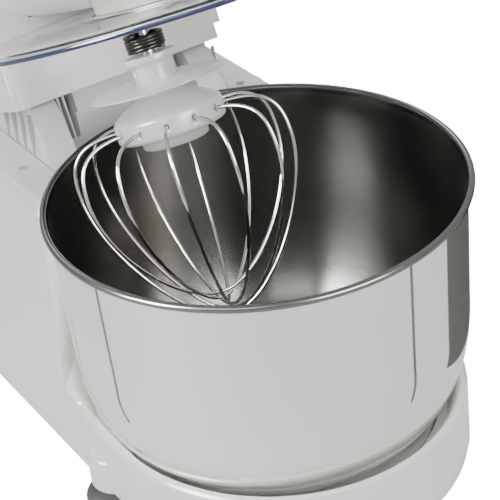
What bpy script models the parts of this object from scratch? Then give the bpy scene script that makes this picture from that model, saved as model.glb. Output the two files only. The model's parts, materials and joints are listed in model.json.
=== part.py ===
"""Tilt-head stand mixer with its head raised, as separate pieces.

Metres, +Z up, the front toward -Y, and the machine is symmetric about X = 0.
Places are given in the stand's frame, whose Z axis is the bowl's axis. Pieces of
the head are given as they lie with the head closed, and an empty at the hinge
raises them all together.
"""
import math

import bmesh
import bpy

# ---------------------------------------------------------------- driving sizes
GAP = 0.0003                 # between pieces that touch
WALL = 0.003                 # moulded shells
BOWL_AXIS_Y = -0.0850        # the bowl's axis, seen from the middle of the footprint

FOOT_HEIGHT = 0.010          # suction feet
FOOT_RADIUS = 0.021
BASE_TOP = 0.054             # lip that the bowl drops into
BASE_HALF_WIDTH = 0.1025
BASE_FRONT = 0.108
BASE_REAR = 0.246
COLUMN_TOP = 0.161           # shoulders beside the neck
COLUMN_HALF_WIDTH = 0.088    # at the shoulders
CHEEK_PEAK = 0.190
SLOT_HALF_WIDTH = 0.0425     # between the cheeks

RIM_Z = 0.178
BOWL_RADIUS = 0.1095
BOWL_DEPTH = 0.145
BOWL_WALL = 0.0009
BEAD_RADIUS = 0.002
BOWL_FLAT = 0.060            # radius of the flat bottom
BOWL_CORNER = 0.073          # height of the rounded lower part
BOWL_CLEARANCE = 0.006       # between the rim and the column
LIP_WIDTH = 0.004            # between the base's side and the dish round the bowl
RECESS_RADIUS = 0.0885       # below the dish
RECESS_TOP = 0.034
DISH_REAR = 0.110
BOSS_RADIUS = 0.0165         # above the two feet that stand out at the sides
BOSS_TOP_Z = 0.034
SEAT_FLOOR = 0.023

HINGE_Y = 0.195
HINGE_Z = 0.128
HEAD_RAISED = math.radians(22)
PIN_RADIUS = 0.006
NECK_HALF_WIDTH = 0.041
CHEEK_REACH = 0.0815         # from the hinge to the front of the cheeks

HEAD_BOTTOM = 0.208
HEAD_SPLIT = 0.236
HEAD_TOP = 0.302
HEAD_HALF_WIDTH = 0.061
HEAD_FRONT = 0.122           # ahead of the bowl's axis
HEAD_REAR = 0.240
SKIRT_BOTTOM = 0.165
SKIRT_FRONT = 0.1165
SKIRT_HALF_WIDTH = 0.0665     # below the ledge
LEDGE_Z = 0.1735
LEDGE = 0.0045

TOOTH_MODULE = 0.001875
RING_TEETH = 44
PLANET_TEETH = 12
GEAR_HEIGHT = 0.008
ORBIT = (RING_TEETH - PLANET_TEETH) * TOOTH_MODULE / 2
ORBIT_ANGLE = math.radians(147.4)
SHAFT_RADIUS = 0.004
MAIN_SHAFT_RADIUS = 0.005
CARRIER_RADIUS = 0.047
CARRIER_HEIGHT = 0.0115
PULLEY_RADIUS = 0.036
MOTOR_PULLEY_RADIUS = 0.009
MOTOR_Y = 0.088
MOTOR_RADIUS = 0.027
MOTOR_HEIGHT = 0.040

GUARD_RADIUS = 0.113
GUARD_RIM_Z = 0.202
GUARD_WALL = 0.0022

HUB_Z = 0.146                # middle of the whisk hub
HUB_RADIUS = 0.029
SLEEVE_RADIUS = 0.011
SLEEVE_TOP = 0.035           # above the middle of the hub
DISC_RADIUS = 0.037
WIRE_RADIUS = 0.001
LOOPS = 6
WHISK_RADIUS = 0.0575
WHISK_LENGTH = 0.096         # the shortest loop, below the middle of the hub
LOOP_STEP = 0.0026           # each next loop hangs lower, so that none touches
PUSH_TRAVEL = 0.005          # the whisk is pushed up this far to free it

KNOB_RADIUS = 0.019
KNOB_Y = 0.168
KNOB_Z = 0.098
LEVER_Y = 0.150
LEVER_Z = 0.138

# ---------------------------------------------------------------- shared tools
for leftover in list(bpy.data.objects):
    bpy.data.objects.remove(leftover, do_unlink=True)

PARTS = bpy.data.collections.new("stand_mixer")
CUTTERS = bpy.data.collections.new("cutters")
CUTTERS.hide_render = True
bpy.context.scene.collection.children.link(PARTS)
bpy.context.scene.collection.children.link(CUTTERS)


def material(name, colour, roughness, metallic=0.0, alpha=1.0):
    made = bpy.data.materials.new(name)
    made.use_nodes = True
    shader = made.node_tree.nodes["Principled BSDF"]
    shader.inputs["Base Color"].default_value = (*colour, 1.0)
    shader.inputs["Roughness"].default_value = roughness
    shader.inputs["Metallic"].default_value = metallic
    shader.inputs["Alpha"].default_value = alpha
    made.diffuse_color = (*colour, alpha)
    return made


WHITE = material("white_abs", (0.80, 0.80, 0.78), 0.3)
RUBBER = material("black_rubber", (0.03, 0.03, 0.03), 0.8)
STEEL = material("polished_steel", (0.62, 0.62, 0.60), 0.12, 1.0)
DARK_STEEL = material("dark_steel", (0.12, 0.12, 0.12), 0.35, 1.0)
CLEAR = material("clear_plastic", (0.85, 0.87, 0.95), 0.05, 0.0, 0.3)
CAST = material("cast_aluminium", (0.55, 0.56, 0.57), 0.45, 1.0)
NYLON = material("natural_nylon", (0.72, 0.70, 0.62), 0.5)
GREY = material("grey_abs", (0.35, 0.35, 0.36), 0.4)
COPPER = material("copper_winding", (0.60, 0.25, 0.12), 0.35, 1.0)
GREEN = material("circuit_board", (0.02, 0.16, 0.07), 0.5)


def frame_at(name, place, parent=None, tilt=0.0):
    """An empty that carries pieces."""
    empty = bpy.data.objects.new(name, None)
    PARTS.objects.link(empty)
    empty.parent = parent
    empty.location = place
    empty.rotation_euler.x = tilt
    return empty


def piece(name, mesh, finish, parent, place=(0, 0, 0)):
    """A named object that holds a mesh; without a finish it is a cutter."""
    made = bpy.data.objects.new(name, mesh)
    (PARTS if finish else CUTTERS).objects.link(made)
    made.parent = parent
    made.location = place
    if finish:
        mesh.materials.append(finish)
        mesh.shade_smooth()
        mesh.set_sharp_from_angle(angle=math.radians(35))
    else:
        made.hide_render = True
        made.display_type = "WIRE"
    return made


def mesh_from(shape, name):
    bmesh.ops.recalc_face_normals(shape, faces=shape.faces)
    if shape.calc_volume(signed=True) < 0:
        bmesh.ops.reverse_faces(shape, faces=shape.faces)
    mesh = bpy.data.meshes.new(name)
    shape.to_mesh(mesh)
    shape.free()
    return mesh


def box(name, low, high, finish, parent):
    """A block between two corners."""
    shape = bmesh.new()
    bmesh.ops.create_cube(shape, size=1.0)
    size = [b - a for a, b in zip(low, high)]
    middle = [(a + b) / 2 for a, b in zip(low, high)]
    bmesh.ops.scale(shape, vec=size, verts=shape.verts)
    bmesh.ops.translate(shape, vec=middle, verts=shape.verts)
    return piece(name, mesh_from(shape, name), finish, parent)


def rod(name, radius, start, length, axis, finish, parent, sides=24):
    """A solid cylinder that starts at a point and runs along one axis."""
    shape = bmesh.new()
    bmesh.ops.create_cone(
        shape, cap_ends=True, segments=sides, radius1=radius, radius2=radius, depth=length
    )
    bmesh.ops.translate(shape, vec=(0, 0, length / 2), verts=shape.verts)
    for vert in shape.verts:
        x, y, z = vert.co
        turned_to = {"X": (z, x, y), "Y": (y, z, x), "Z": (x, y, z)}[axis]
        vert.co = [a + b for a, b in zip(turned_to, start)]
    return piece(name, mesh_from(shape, name), finish, parent)


def turned(name, outline, finish, parent, place=(0, 0, 0), steps=32, closed=True):
    """A turned shape. The outline (radius, height) runs down its outer side."""
    shape = bmesh.new()
    verts = [shape.verts.new((radius, 0, height)) for radius, height in outline]
    for first, second in zip(verts, verts[1:] + verts[:1] if closed else verts[1:]):
        shape.edges.new((first, second))
    mesh = bpy.data.meshes.new(name)
    shape.to_mesh(mesh)
    shape.free()
    made = piece(name, mesh, finish, parent, place)
    screw = made.modifiers.new("turn", "SCREW")
    screw.steps = steps
    screw.render_steps = steps
    screw.use_merge_vertices = True
    screw.merge_threshold = 0.00001
    screw.use_smooth_shade = bool(finish)
    return made


def flat(name, outlines, low, high, finish, parent, place=(0, 0, 0)):
    """A plate with flat outlines: the first is its edge and the others are holes."""
    curve = bpy.data.curves.new(name, "CURVE")
    curve.dimensions = "2D"
    curve.fill_mode = "BOTH"
    curve.extrude = (high - low) / 2
    for outline in outlines:
        spline = curve.splines.new("POLY")
        spline.points.add(len(outline) - 1)
        for point, (x, y) in zip(spline.points, outline):
            point.co = (x, y, 0, 1)
        spline.use_cyclic_u = True
    helper = bpy.data.objects.new(name + "_outline", curve)
    bpy.context.scene.collection.objects.link(helper)
    graph = bpy.context.evaluated_depsgraph_get()
    mesh = bpy.data.meshes.new_from_object(helper.evaluated_get(graph))
    bpy.data.objects.remove(helper, do_unlink=True)
    shape = bmesh.new()
    shape.from_mesh(mesh)
    bmesh.ops.remove_doubles(shape, verts=shape.verts, dist=0.000001)
    bmesh.ops.translate(shape, vec=(0, 0, (low + high) / 2), verts=shape.verts)
    return piece(name, mesh_from(shape, name), finish, parent, place)


def loft(name, rings, finish, parent):
    """A skin through rings of equally many points, capped at both ends."""
    shape = bmesh.new()
    made = [[shape.verts.new(point) for point in ring] for ring in rings]
    for near, far in zip(made, made[1:]):
        for i in range(len(near)):
            j = (i + 1) % len(near)
            shape.faces.new((near[i], near[j], far[j], far[i]))
    shape.faces.new(made[0])
    shape.faces.new(made[-1])
    return piece(name, mesh_from(shape, name), finish, parent)


def wire(name, points, radius, finish, parent, place=(0, 0, 0)):
    """A round wire along points."""
    curve = bpy.data.curves.new(name, "CURVE")
    curve.dimensions = "3D"
    curve.bevel_depth = radius
    curve.bevel_resolution = 2
    curve.use_fill_caps = True
    spline = curve.splines.new("POLY")
    spline.points.add(len(points) - 1)
    for point, place_on in zip(spline.points, points):
        point.co = (*place_on, 1)
    made = bpy.data.objects.new(name, curve)
    curve.materials.append(finish)
    PARTS.objects.link(made)
    made.parent = parent
    made.location = place
    return made


def combine(target, other, operation):
    """Cuts another shape from a piece, or joins it on."""
    boolean = target.modifiers.new(other.name, "BOOLEAN")
    boolean.operation = operation
    boolean.solver = "EXACT"
    boolean.object = other


def cut(target, *others):
    for other in others:
        combine(target, other, "DIFFERENCE")


def join(target, *others):
    for other in others:
        combine(target, other, "UNION")


def bevel(target, width, segments=2, angle=40):
    """Rounds a piece's sharp edges."""
    rounding = target.modifiers.new("rounding", "BEVEL")
    rounding.width = width
    rounding.segments = segments
    rounding.limit_method = "ANGLE"
    rounding.angle_limit = math.radians(angle)


def circle(radius, count=40, centre=(0, 0), start=0.0):
    """Points round a circle."""
    turns = [start + 2 * math.pi * i / count for i in range(count)]
    return [(centre[0] + radius * math.cos(a), centre[1] + radius * math.sin(a)) for a in turns]


def arc(centre, radius, first, last, count):
    """Points along an arc, with its two angles in degrees."""
    angles = [math.radians(first + (last - first) * i / count) for i in range(count + 1)]
    return [(centre[0] + radius * math.cos(a), centre[1] + radius * math.sin(a)) for a in angles]


def tube_outline(inner, outer, low, high):
    return [(outer, high), (outer, low), (inner, low), (inner, high)]


# ---------------------------------------------------------------- frames
STAND = frame_at("stand", (0, BOWL_AXIS_Y, 0))
TILT = frame_at("tilt_axis", (0, HINGE_Y, HINGE_Z), STAND, -HEAD_RAISED)
HEAD = frame_at("head_frame", (0, -HINGE_Y, -HINGE_Z), TILT)
PLANET_PLACE = (ORBIT * math.cos(ORBIT_ANGLE), ORBIT * math.sin(ORBIT_ANGLE), 0)
PLANET = frame_at("planet_axis", PLANET_PLACE, HEAD)
WHISK = frame_at("whisk_frame", (0, 0, HUB_Z), PLANET)

# ---------------------------------------------------------------- stand
BASE_BOTTOM = FOOT_HEIGHT + 0.002
FEET = [(side * x, y) for x, y in ((0.048, -0.062), (0.091, 0.030), (0.074, 0.205)) for side in (-1, 1)]
SCREWS = [(side * x, y) for x, y in ((0.050, -0.030), (0.060, 0.150)) for side in (-1, 1)]


def base_outline(inset):
    """The base seen from above: an elliptical nose, straight sides, a rounded rear."""
    half = BASE_HALF_WIDTH - inset
    front = BASE_FRONT - inset
    rear = BASE_REAR - inset
    rear_depth = 0.036
    points = []
    for i in range(17):
        a = math.pi + math.pi * i / 16
        points.append((half * math.cos(a), front * math.sin(a)))
    for i in range(9):
        a = math.pi * i / 8
        x = half * math.copysign(abs(math.cos(a)) ** 0.5, math.cos(a))
        y = rear - rear_depth + rear_depth * abs(math.sin(a)) ** 0.5
        points.append((x, y))
    return points


def dish_ring(z, inset):
    """The dish round the bowl at a height: the base's elliptical nose inside the lip, and a square-shouldered rear."""
    half = BASE_HALF_WIDTH - LIP_WIDTH - inset
    front = BASE_FRONT - LIP_WIDTH - inset
    rear = DISH_REAR - inset
    ring = []
    for i in range(40):
        a = 2 * math.pi * i / 40
        x = half * math.cos(a)
        if math.sin(a) < 0:
            ring.append((x, front * math.sin(a), z))
        else:
            x = half * math.copysign(abs(math.cos(a)) ** 0.6, math.cos(a))
            ring.append((x, rear * abs(math.sin(a)) ** 0.6, z))
    return ring


def side_prism(name, outline, half_width, finish, parent, top_half_width=None):
    """A block with its outline (y, z) seen from the side, narrower toward the top if asked."""
    lowest = min(z for y, z in outline)
    highest = max(z for y, z in outline)
    top = half_width if top_half_width is None else top_half_width
    rings = []
    for side in (-1, 1):
        ring = []
        for y, z in outline:
            share = (z - lowest) / (highest - lowest)
            ring.append((side * (half_width + (top - half_width) * share), y, z))
        rings.append(ring)
    return loft(name, rings, finish, parent)


def column_outline():
    """The column seen from the side. Its rear slopes away under the raised head."""
    low = BASE_BOTTOM + 0.002
    return [
        (0.040, low),
        (BASE_REAR - 0.002, low),
        (BASE_REAR - 0.007, COLUMN_TOP - 0.023),
        (HINGE_Y + 0.003, COLUMN_TOP),
        (0.040, COLUMN_TOP),
    ]


def base_shell():
    steps = ((BASE_BOTTOM, 0), (BASE_TOP - 0.006, 0), (BASE_TOP - 0.002, 0.0015), (BASE_TOP, 0.005))
    rings = [[(x, y, z) for x, y in base_outline(inset)] for z, inset in steps]
    shell = loft("base_shell", rings, WHITE, STAND)
    column = side_prism(
        "column_block", column_outline(), BASE_HALF_WIDTH - 0.0007, None, STAND, COLUMN_HALF_WIDTH
    )
    bevel(column, 0.010, 1)
    low = COLUMN_TOP - 0.004
    foot_angle = 180 - math.degrees(math.asin((low - HINGE_Z) / CHEEK_REACH))
    peak_angle = 180 - math.degrees(math.asin((CHEEK_PEAK - HINGE_Z) / CHEEK_REACH))
    front = arc((HINGE_Y, HINGE_Z), CHEEK_REACH, peak_angle, foot_angle, 6)
    peaks = side_prism(
        "cheek_peaks", front + [(HINGE_Y, low), (HINGE_Y - 0.006, CHEEK_PEAK)],
        0.0595, None, STAND, SLOT_HALF_WIDTH + WALL,
    )
    join(shell, column, peaks)
    for mark, foot in (("left", FEET[2]), ("right", FEET[3])):
        boss = rod(
            "foot_boss_" + mark, BOSS_RADIUS, (*foot, BASE_BOTTOM), BOSS_TOP_Z - BASE_BOTTOM, "Z", None, STAND, 24
        )
        join(shell, boss)
    reach = BOWL_RADIUS + 2 * BEAD_RADIUS + BOWL_CLEARANCE
    room = rod("bowl_room", reach, (0, 0, BASE_TOP), 0.2, "Z", None, STAND, 48)
    recess = rod("bowl_recess", RECESS_RADIUS, (0, 0, SEAT_FLOOR), 0.02, "Z", None, STAND, 48)
    dish = loft("bowl_dish", [dish_ring(RECESS_TOP - 0.001, 0.008), dish_ring(BASE_TOP + 0.001, 0)], None, STAND)
    slot = box(
        "neck_slot", (-SLOT_HALF_WIDTH, 0.05, HINGE_Z - 0.029),
        (SLOT_HALF_WIDTH, 0.30, CHEEK_PEAK + 0.02), None, STAND,
    )
    under_seat = flat(
        "under_seat", [base_outline(WALL)], BASE_BOTTOM - 0.01, SEAT_FLOOR - WALL, None, STAND
    )
    rear_room = box(
        "rear_room", (-0.090, reach + WALL, BASE_BOTTOM - 0.01),
        (0.090, BASE_REAR - 0.012, HINGE_Z - 0.029 - WALL), None, STAND,
    )
    cut(shell, room, recess, dish, slot, under_seat, rear_room)
    for side, mark in ((-1, "left"), (1, "right")):
        low = min(side * (SLOT_HALF_WIDTH + 0.006), side * (COLUMN_HALF_WIDTH - 0.006))
        high = max(side * (SLOT_HALF_WIDTH + 0.006), side * (COLUMN_HALF_WIDTH - 0.006))
        pocket = box(
            "cheek_room_" + mark, (low, 0.132, HINGE_Z - 0.034),
            (high, HINGE_Y + 0.022, COLUMN_TOP - 0.016), None, STAND,
        )
        cut(shell, pocket)
    pin_hole = rod(
        "pin_hole", PIN_RADIUS + WALL + 0.0013, (-0.07, HINGE_Y, HINGE_Z), 0.14, "X", None, STAND
    )
    knob_hole = rod("knob_hole", 0.0045, (0.07, KNOB_Y, KNOB_Z), 0.06, "X", None, STAND)
    lever_hole = rod("lever_hole", 0.0045, (0.07, LEVER_Y, LEVER_Z), 0.06, "X", None, STAND)
    bolt_hole = rod("bolt_hole", 0.0044, (0.03, LEVER_Y, LEVER_Z), 0.03, "X", None, STAND)
    inlet_hole = rod("inlet_hole", 0.0062, (-0.05, BASE_REAR - 0.03, 0.030), 0.06, "Y", None, STAND)
    cut(shell, pin_hole, knob_hole, lever_hole, bolt_hole, inlet_hole)


def base_plate():
    holes = [circle(0.0024, 8, screw) for screw in SCREWS]
    stems = [circle(0.0052, 10, foot) for foot in FEET]
    outlines = [base_outline(WALL + 0.0006)] + holes + stems
    flat("base_plate", outlines, BASE_BOTTOM, BASE_BOTTOM + WALL, GREY, STAND)


def feet():
    """A rubber suction cup with a stem that snaps through the base plate."""
    stem = 0.0048
    neck = 0.0085
    plate_top = BASE_BOTTOM + WALL
    for number, (x, y) in enumerate(FEET, 1):
        outline = [
            (0, plate_top + 0.003),
            (stem, plate_top + 0.003),
            (stem, BASE_BOTTOM - GAP),
            (neck, BASE_BOTTOM - GAP),
            (neck, FOOT_HEIGHT - 0.004),
            (FOOT_RADIUS, 0.002),
            (FOOT_RADIUS, 0),
            (FOOT_RADIUS - 0.005, 0),
            (0, 0.0035),
        ]
        turned("foot_%d" % number, outline, RUBBER, STAND, (x, y, 0), 14, closed=False)


def base_screws():
    """Pan-head screws that hold the plate. Each ends short of the seat floor."""
    for number, (x, y) in enumerate(SCREWS, 1):
        outline = [
            (0, BASE_BOTTOM + 0.007),
            (0.0019, BASE_BOTTOM + 0.007),
            (0.0019, BASE_BOTTOM - GAP),
            (0.0038, BASE_BOTTOM - GAP),
            (0.0030, BASE_BOTTOM - 0.0020),
            (0, BASE_BOTTOM - 0.0024),
        ]
        turned("base_screw_%d" % number, outline, DARK_STEEL, STAND, (x, y, 0), 10, closed=False)


LUG_ANGLES = [math.radians(30 + 120 * i) for i in range(3)]
LOCK_TURN = math.radians(25)     # the bowl turns this far to free its lugs
FOOT_RING_RADIUS = 0.056
LUG_REACH = 0.0615


def lug_block(name, angle, width, low, high, inner, outer):
    """A block on one side of the bowl's axis, turned to its angle."""
    made = box(name, (inner, -width / 2, low), (outer, width / 2, high), None, STAND)
    made.rotation_euler.z = angle
    return made


def bowl_seat():
    """A ring with three bayonet pockets, fixed in the floor of the recess."""
    outline = [
        (RECESS_RADIUS - 0.0015, SEAT_FLOOR + GAP + 0.0075),
        (RECESS_RADIUS - 0.0015, SEAT_FLOOR + GAP),
        (LUG_REACH + 0.0015, SEAT_FLOOR + GAP),
        (LUG_REACH + 0.0015, SEAT_FLOOR + 0.0055),
        (FOOT_RING_RADIUS + 0.0008, SEAT_FLOOR + 0.0055),
        (FOOT_RING_RADIUS + 0.0008, SEAT_FLOOR + GAP + 0.0075),
    ]
    seat = turned("bowl_seat", outline, WHITE, STAND)
    for number, angle in enumerate(LUG_ANGLES, 1):
        way = lug_block(
            "lug_way_%d" % number, angle, 0.022, SEAT_FLOOR + 0.001, SEAT_FLOOR + 0.02,
            FOOT_RING_RADIUS - 0.01, LUG_REACH + 0.0012,
        )
        cut(seat, way)


def bowl_outline():
    """The bowl's outside (radius, height), from under the rim to the flat bottom."""
    corner_top = RIM_Z - BOWL_DEPTH + BOWL_CORNER
    wall_foot = BOWL_RADIUS - 0.0015
    power = 2.3
    points = [(BOWL_RADIUS, RIM_Z - 0.004), (wall_foot, corner_top)]
    for i in range(1, 7):
        a = math.pi / 2 * i / 6
        out = math.cos(a) ** (2 / power) if i < 6 else 0.0
        down = math.sin(a) ** (2 / power)
        points.append((BOWL_FLAT + (wall_foot - BOWL_FLAT) * out, corner_top - BOWL_CORNER * down))
    return points


def bowl():
    """Drawn steel bowl with a rolled bead."""
    outer = bowl_outline()
    inner = []
    for radius, height in outer:
        share = max(0.0, 1 - (height - (RIM_Z - BOWL_DEPTH)) / BOWL_CORNER)
        inner.append((radius - BOWL_WALL, height + BOWL_WALL * share))
    bead = arc((BOWL_RADIUS + BEAD_RADIUS - 0.0005, RIM_Z - BEAD_RADIUS), BEAD_RADIUS, 180, -90, 4)
    bottom = RIM_Z - BOWL_DEPTH
    outline = [(0, bottom + BOWL_WALL)] + inner[::-1] + bead + outer + [(0, bottom)]
    turned("bowl", outline, STEEL, STAND, steps=36, closed=False)


def bowl_foot():
    """Ring under the bowl, with three lugs that turn into the seat."""
    top = RIM_Z - BOWL_DEPTH - GAP
    ring = turned(
        "bowl_foot", tube_outline(FOOT_RING_RADIUS - 0.005, FOOT_RING_RADIUS, SEAT_FLOOR + 0.0012, top),
        STEEL, STAND,
    )
    for number, angle in enumerate(LUG_ANGLES, 1):
        lug = lug_block(
            "lug_%d" % number, angle - LOCK_TURN, 0.018, SEAT_FLOOR + 0.0018, SEAT_FLOOR + 0.0044,
            FOOT_RING_RADIUS - 0.002, LUG_REACH,
        )
        join(ring, lug)


def hinge_parts():
    reach = SLOT_HALF_WIDTH + 0.012
    rod("hinge_pin", PIN_RADIUS, (-reach, HINGE_Y, HINGE_Z), 2 * reach, "X", STEEL, STAND)
    for side, mark in ((-1, "left"), (1, "right")):
        start = side * (SLOT_HALF_WIDTH + 0.0004)
        length = 0.0056
        low = min(start, start + side * length)
        bush = rod(
            "hinge_bush_" + mark, PIN_RADIUS + WALL + 0.001, (low, HINGE_Y, HINGE_Z), length,
            "X", NYLON, STAND,
        )
        bore = rod(
            "bush_bore_" + mark, PIN_RADIUS + GAP, (low - 0.01, HINGE_Y, HINGE_Z), 0.03,
            "X", None, STAND,
        )
        cut(bush, bore)


def side_face(z):
    """Half-width of the column's side at a height."""
    share = (z - BASE_BOTTOM) / (COLUMN_TOP - BASE_BOTTOM)
    return BASE_HALF_WIDTH + (COLUMN_HALF_WIDTH - BASE_HALF_WIDTH) * share


def controls():
    """Speed knob on its shaft, the switch behind it, and the board that feeds the motor."""
    face = side_face(KNOB_Z)
    knob = rod(
        "speed_knob", KNOB_RADIUS, (face + 0.002, KNOB_Y, KNOB_Z), 0.010, "X", GREY, STAND, 32
    )
    bevel(knob, 0.0015)
    grip = box(
        "knob_grip", (face + 0.011, KNOB_Y - 0.0035, KNOB_Z - KNOB_RADIUS + 0.002),
        (face + 0.0175, KNOB_Y + 0.0035, KNOB_Z + KNOB_RADIUS - 0.002), None, STAND,
    )
    socket = rod("knob_socket", 0.0035, (face, KNOB_Y, KNOB_Z), 0.009, "X", None, STAND)
    join(knob, grip)
    cut(knob, socket)
    rod("knob_shaft", 0.0031, (0.066, KNOB_Y, KNOB_Z), face + 0.0085 - 0.066, "X", STEEL, STAND, 16)
    switch = rod("speed_switch", 0.012, (0.0560, KNOB_Y, KNOB_Z + 0.0), 0.009, "X", NYLON, STAND)
    bevel(switch, 0.001, 1)
    box("control_board", (-0.040, 0.150, 0.032), (0.040, 0.205, 0.0336), GREEN, STAND)


def latch():
    """Lever on the side, its shaft through the wall, and the bolt that locks the neck."""
    face = side_face(LEVER_Z)
    lever = rod(
        "release_lever", 0.011, (face + 0.002, LEVER_Y, LEVER_Z), 0.006, "X", GREY, STAND, 24
    )
    paddle = box(
        "lever_paddle", (face + 0.002, LEVER_Y - 0.034, LEVER_Z - 0.006),
        (face + 0.008, LEVER_Y, LEVER_Z + 0.006), None, STAND,
    )
    shaft = rod("lever_shaft", 0.004, (0.072, LEVER_Y, LEVER_Z), face - 0.064, "X", None, STAND, 16)
    join(lever, paddle, shaft)
    bolt = rod("latch_bolt", 0.004, (SLOT_HALF_WIDTH + 0.001, LEVER_Y, LEVER_Z), 0.026, "X", STEEL, STAND, 16)
    flange = rod("bolt_flange", 0.007, (SLOT_HALF_WIDTH + 0.018, LEVER_Y, LEVER_Z), 0.003, "X", None, STAND, 16)
    join(bolt, flange)
    turns = 3
    sides = 8
    length = 0.0055
    start = SLOT_HALF_WIDTH + 0.0068
    points = []
    for i in range(turns * sides + 1):
        a = 2 * math.pi * i / sides
        points.append((start + length * i / (turns * sides), 0.0055 * math.cos(a), 0.0055 * math.sin(a)))
    wire("latch_spring", points, 0.0005, DARK_STEEL, STAND, (0, LEVER_Y, LEVER_Z))


def cable_inlet():
    """Rubber grommet at the rear, where the mains lead would enter."""
    rear = BASE_REAR - 0.0008
    outline = [
        (0.0055, -0.010), (0.0055, 0.0),
        (0.0095, 0.0), (0.0075, 0.007),
        (0.0036, 0.007), (0.0036, -0.010),
    ]
    made = turned("cable_inlet", outline[::-1], RUBBER, STAND, (-0.05, rear + 0.001, 0.030), 20)
    made.rotation_euler.x = -math.pi / 2


# ---------------------------------------------------------------- head casing
STATIONS = (
    # y, half-width, bottom, top, as shares of the head's own sizes
    (-1.00, 0.34, 0.30, 0.58),
    (-0.97, 0.56, 0.13, 0.74),
    (-0.88, 0.76, 0.02, 0.88),
    (-0.58, 0.90, 0.00, 0.97),
    (0.00, 0.97, 0.00, 1.00),
    (0.33, 1.00, 0.00, 0.99),
    (0.62, 1.00, 0.00, 0.93),
    (0.86, 0.95, 0.00, 0.77),
    (0.96, 0.82, 0.05, 0.60),
    (1.00, 0.60, 0.14, 0.46),
)


def head_rings(inset):
    """Rounded sections of the head, square to its length, from nose to rear."""
    rings = []
    count = 24
    power = 0.62
    tall = HEAD_TOP - HEAD_BOTTOM
    for place, width, low, high in STATIONS:
        reach = (HEAD_FRONT if place < 0 else HEAD_REAR) - inset
        half = HEAD_HALF_WIDTH * width - inset
        bottom = HEAD_BOTTOM + tall * low + inset
        top = HEAD_BOTTOM + tall * high - inset
        ring = []
        for i in range(count):
            a = 2 * math.pi * (i + 0.5) / count
            x = half * math.copysign(abs(math.cos(a)) ** power, math.cos(a))
            z = (top + bottom) / 2 + (top - bottom) / 2 * math.copysign(abs(math.sin(a)) ** power, math.sin(a))
            ring.append((x, place * reach, z))
        rings.append(ring)
    return rings


def head_upper_shell():
    shell = loft("head_upper_shell", head_rings(0), WHITE, HEAD)
    inside = loft("upper_inside", head_rings(WALL), None, HEAD)
    below = box("below_split", (-0.2, -0.3, 0.1), (0.2, 0.3, HEAD_SPLIT + GAP), None, HEAD)
    cut(shell, inside, below)
    for i in range(5):
        z = HEAD_SPLIT + 0.008 + 0.006 * i
        slit = box("vent_%d" % (i + 1), (-0.022, HEAD_REAR - 0.02, z), (0.022, HEAD_REAR + 0.02, z + 0.0028), None, HEAD)
        if z + 0.0028 < HEAD_BOTTOM + 0.46 * (HEAD_TOP - HEAD_BOTTOM) - WALL:
            cut(shell, slit)


def head_lower_shell():
    shell = loft("head_lower_shell", head_rings(0), WHITE, HEAD)
    rear = HEAD_REAR - 0.004
    top = HEAD_SPLIT - 0.004
    wide = SKIRT_HALF_WIDTH + LEDGE
    skirt = box(
        "skirt", (-SKIRT_HALF_WIDTH, SKIRT_FRONT, SKIRT_BOTTOM), (SKIRT_HALF_WIDTH, rear, HEAD_BOTTOM), None, HEAD
    )
    ledge = box("skirt_ledge", (-wide, SKIRT_FRONT, LEDGE_Z), (wide, rear, top), None, HEAD)
    bevel(ledge, 0.004, 1)
    join(shell, skirt, ledge)
    inside = loft("lower_inside", head_rings(WALL), None, HEAD)
    above = box("above_split", (-0.2, -0.3, HEAD_SPLIT), (0.2, 0.3, 0.5), None, HEAD)
    pocket = box(
        "skirt_pocket", (-SKIRT_HALF_WIDTH + WALL, SKIRT_FRONT + WALL, SKIRT_BOTTOM - 0.02),
        (SKIRT_HALF_WIDTH - WALL, rear - WALL, HEAD_BOTTOM), None, HEAD,
    )
    mouth = rod("gear_mouth", RING_OUTER + 0.0005, (0, 0, 0.18), 0.05, "Z", None, HEAD, 48)
    cut(shell, inside, above, pocket, mouth)


def hinge_neck():
    """Cast neck between the cheeks. It turns on the hinge pin and carries the head."""
    top = HEAD_BOTTOM - GAP
    outline = [(0.126, top), (0.128, 0.142), (0.146, 0.122)]
    outline += arc((HINGE_Y, HINGE_Z), 0.026, 225, 340, 8)
    outline += [(0.219, top)]
    neck = side_prism("hinge_neck", outline, NECK_HALF_WIDTH, WHITE, HEAD)
    bevel(neck, 0.004)
    bore = rod("neck_bore", PIN_RADIUS + GAP, (-0.06, HINGE_Y, HINGE_Z), 0.12, "X", None, HEAD)
    cut(neck, bore)
    dy = LEVER_Y - HINGE_Y
    dz = LEVER_Z - HINGE_Z
    for mark, rise in (("closed", 0), ("raised", HEAD_RAISED)):
        catch = rod(mark + "_catch", 0.0055, (NECK_HALF_WIDTH - 0.007, 0, 0), 0.02, "X", None, HEAD, 16)
        catch.location = (
            0,
            HINGE_Y + dy * math.cos(rise) - dz * math.sin(rise),
            HINGE_Z + dy * math.sin(rise) + dz * math.cos(rise),
        )
        cut(neck, catch)


# ---------------------------------------------------------------- gearing
RING_OUTER = 0.049
TOOTH_HEIGHT = 0.7 * TOOTH_MODULE
TOOTH_ROOT = 0.95 * TOOTH_MODULE
GEAR_LOW = HEAD_BOTTOM + 0.001
PLATE_LOW = HEAD_BOTTOM + 0.0103
PLATE_HIGH = PLATE_LOW + 0.004
BOSS_TOP = PLATE_HIGH + 0.008
PULLEY_LOW = BOSS_TOP + 0.002
PULLEY_HIGH = PULLEY_LOW + 0.010
BRACKET_LOW = PULLEY_HIGH + 0.002
BRACKET_HIGH = BRACKET_LOW + 0.003
MOTOR_LOW = BRACKET_HIGH + GAP


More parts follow.
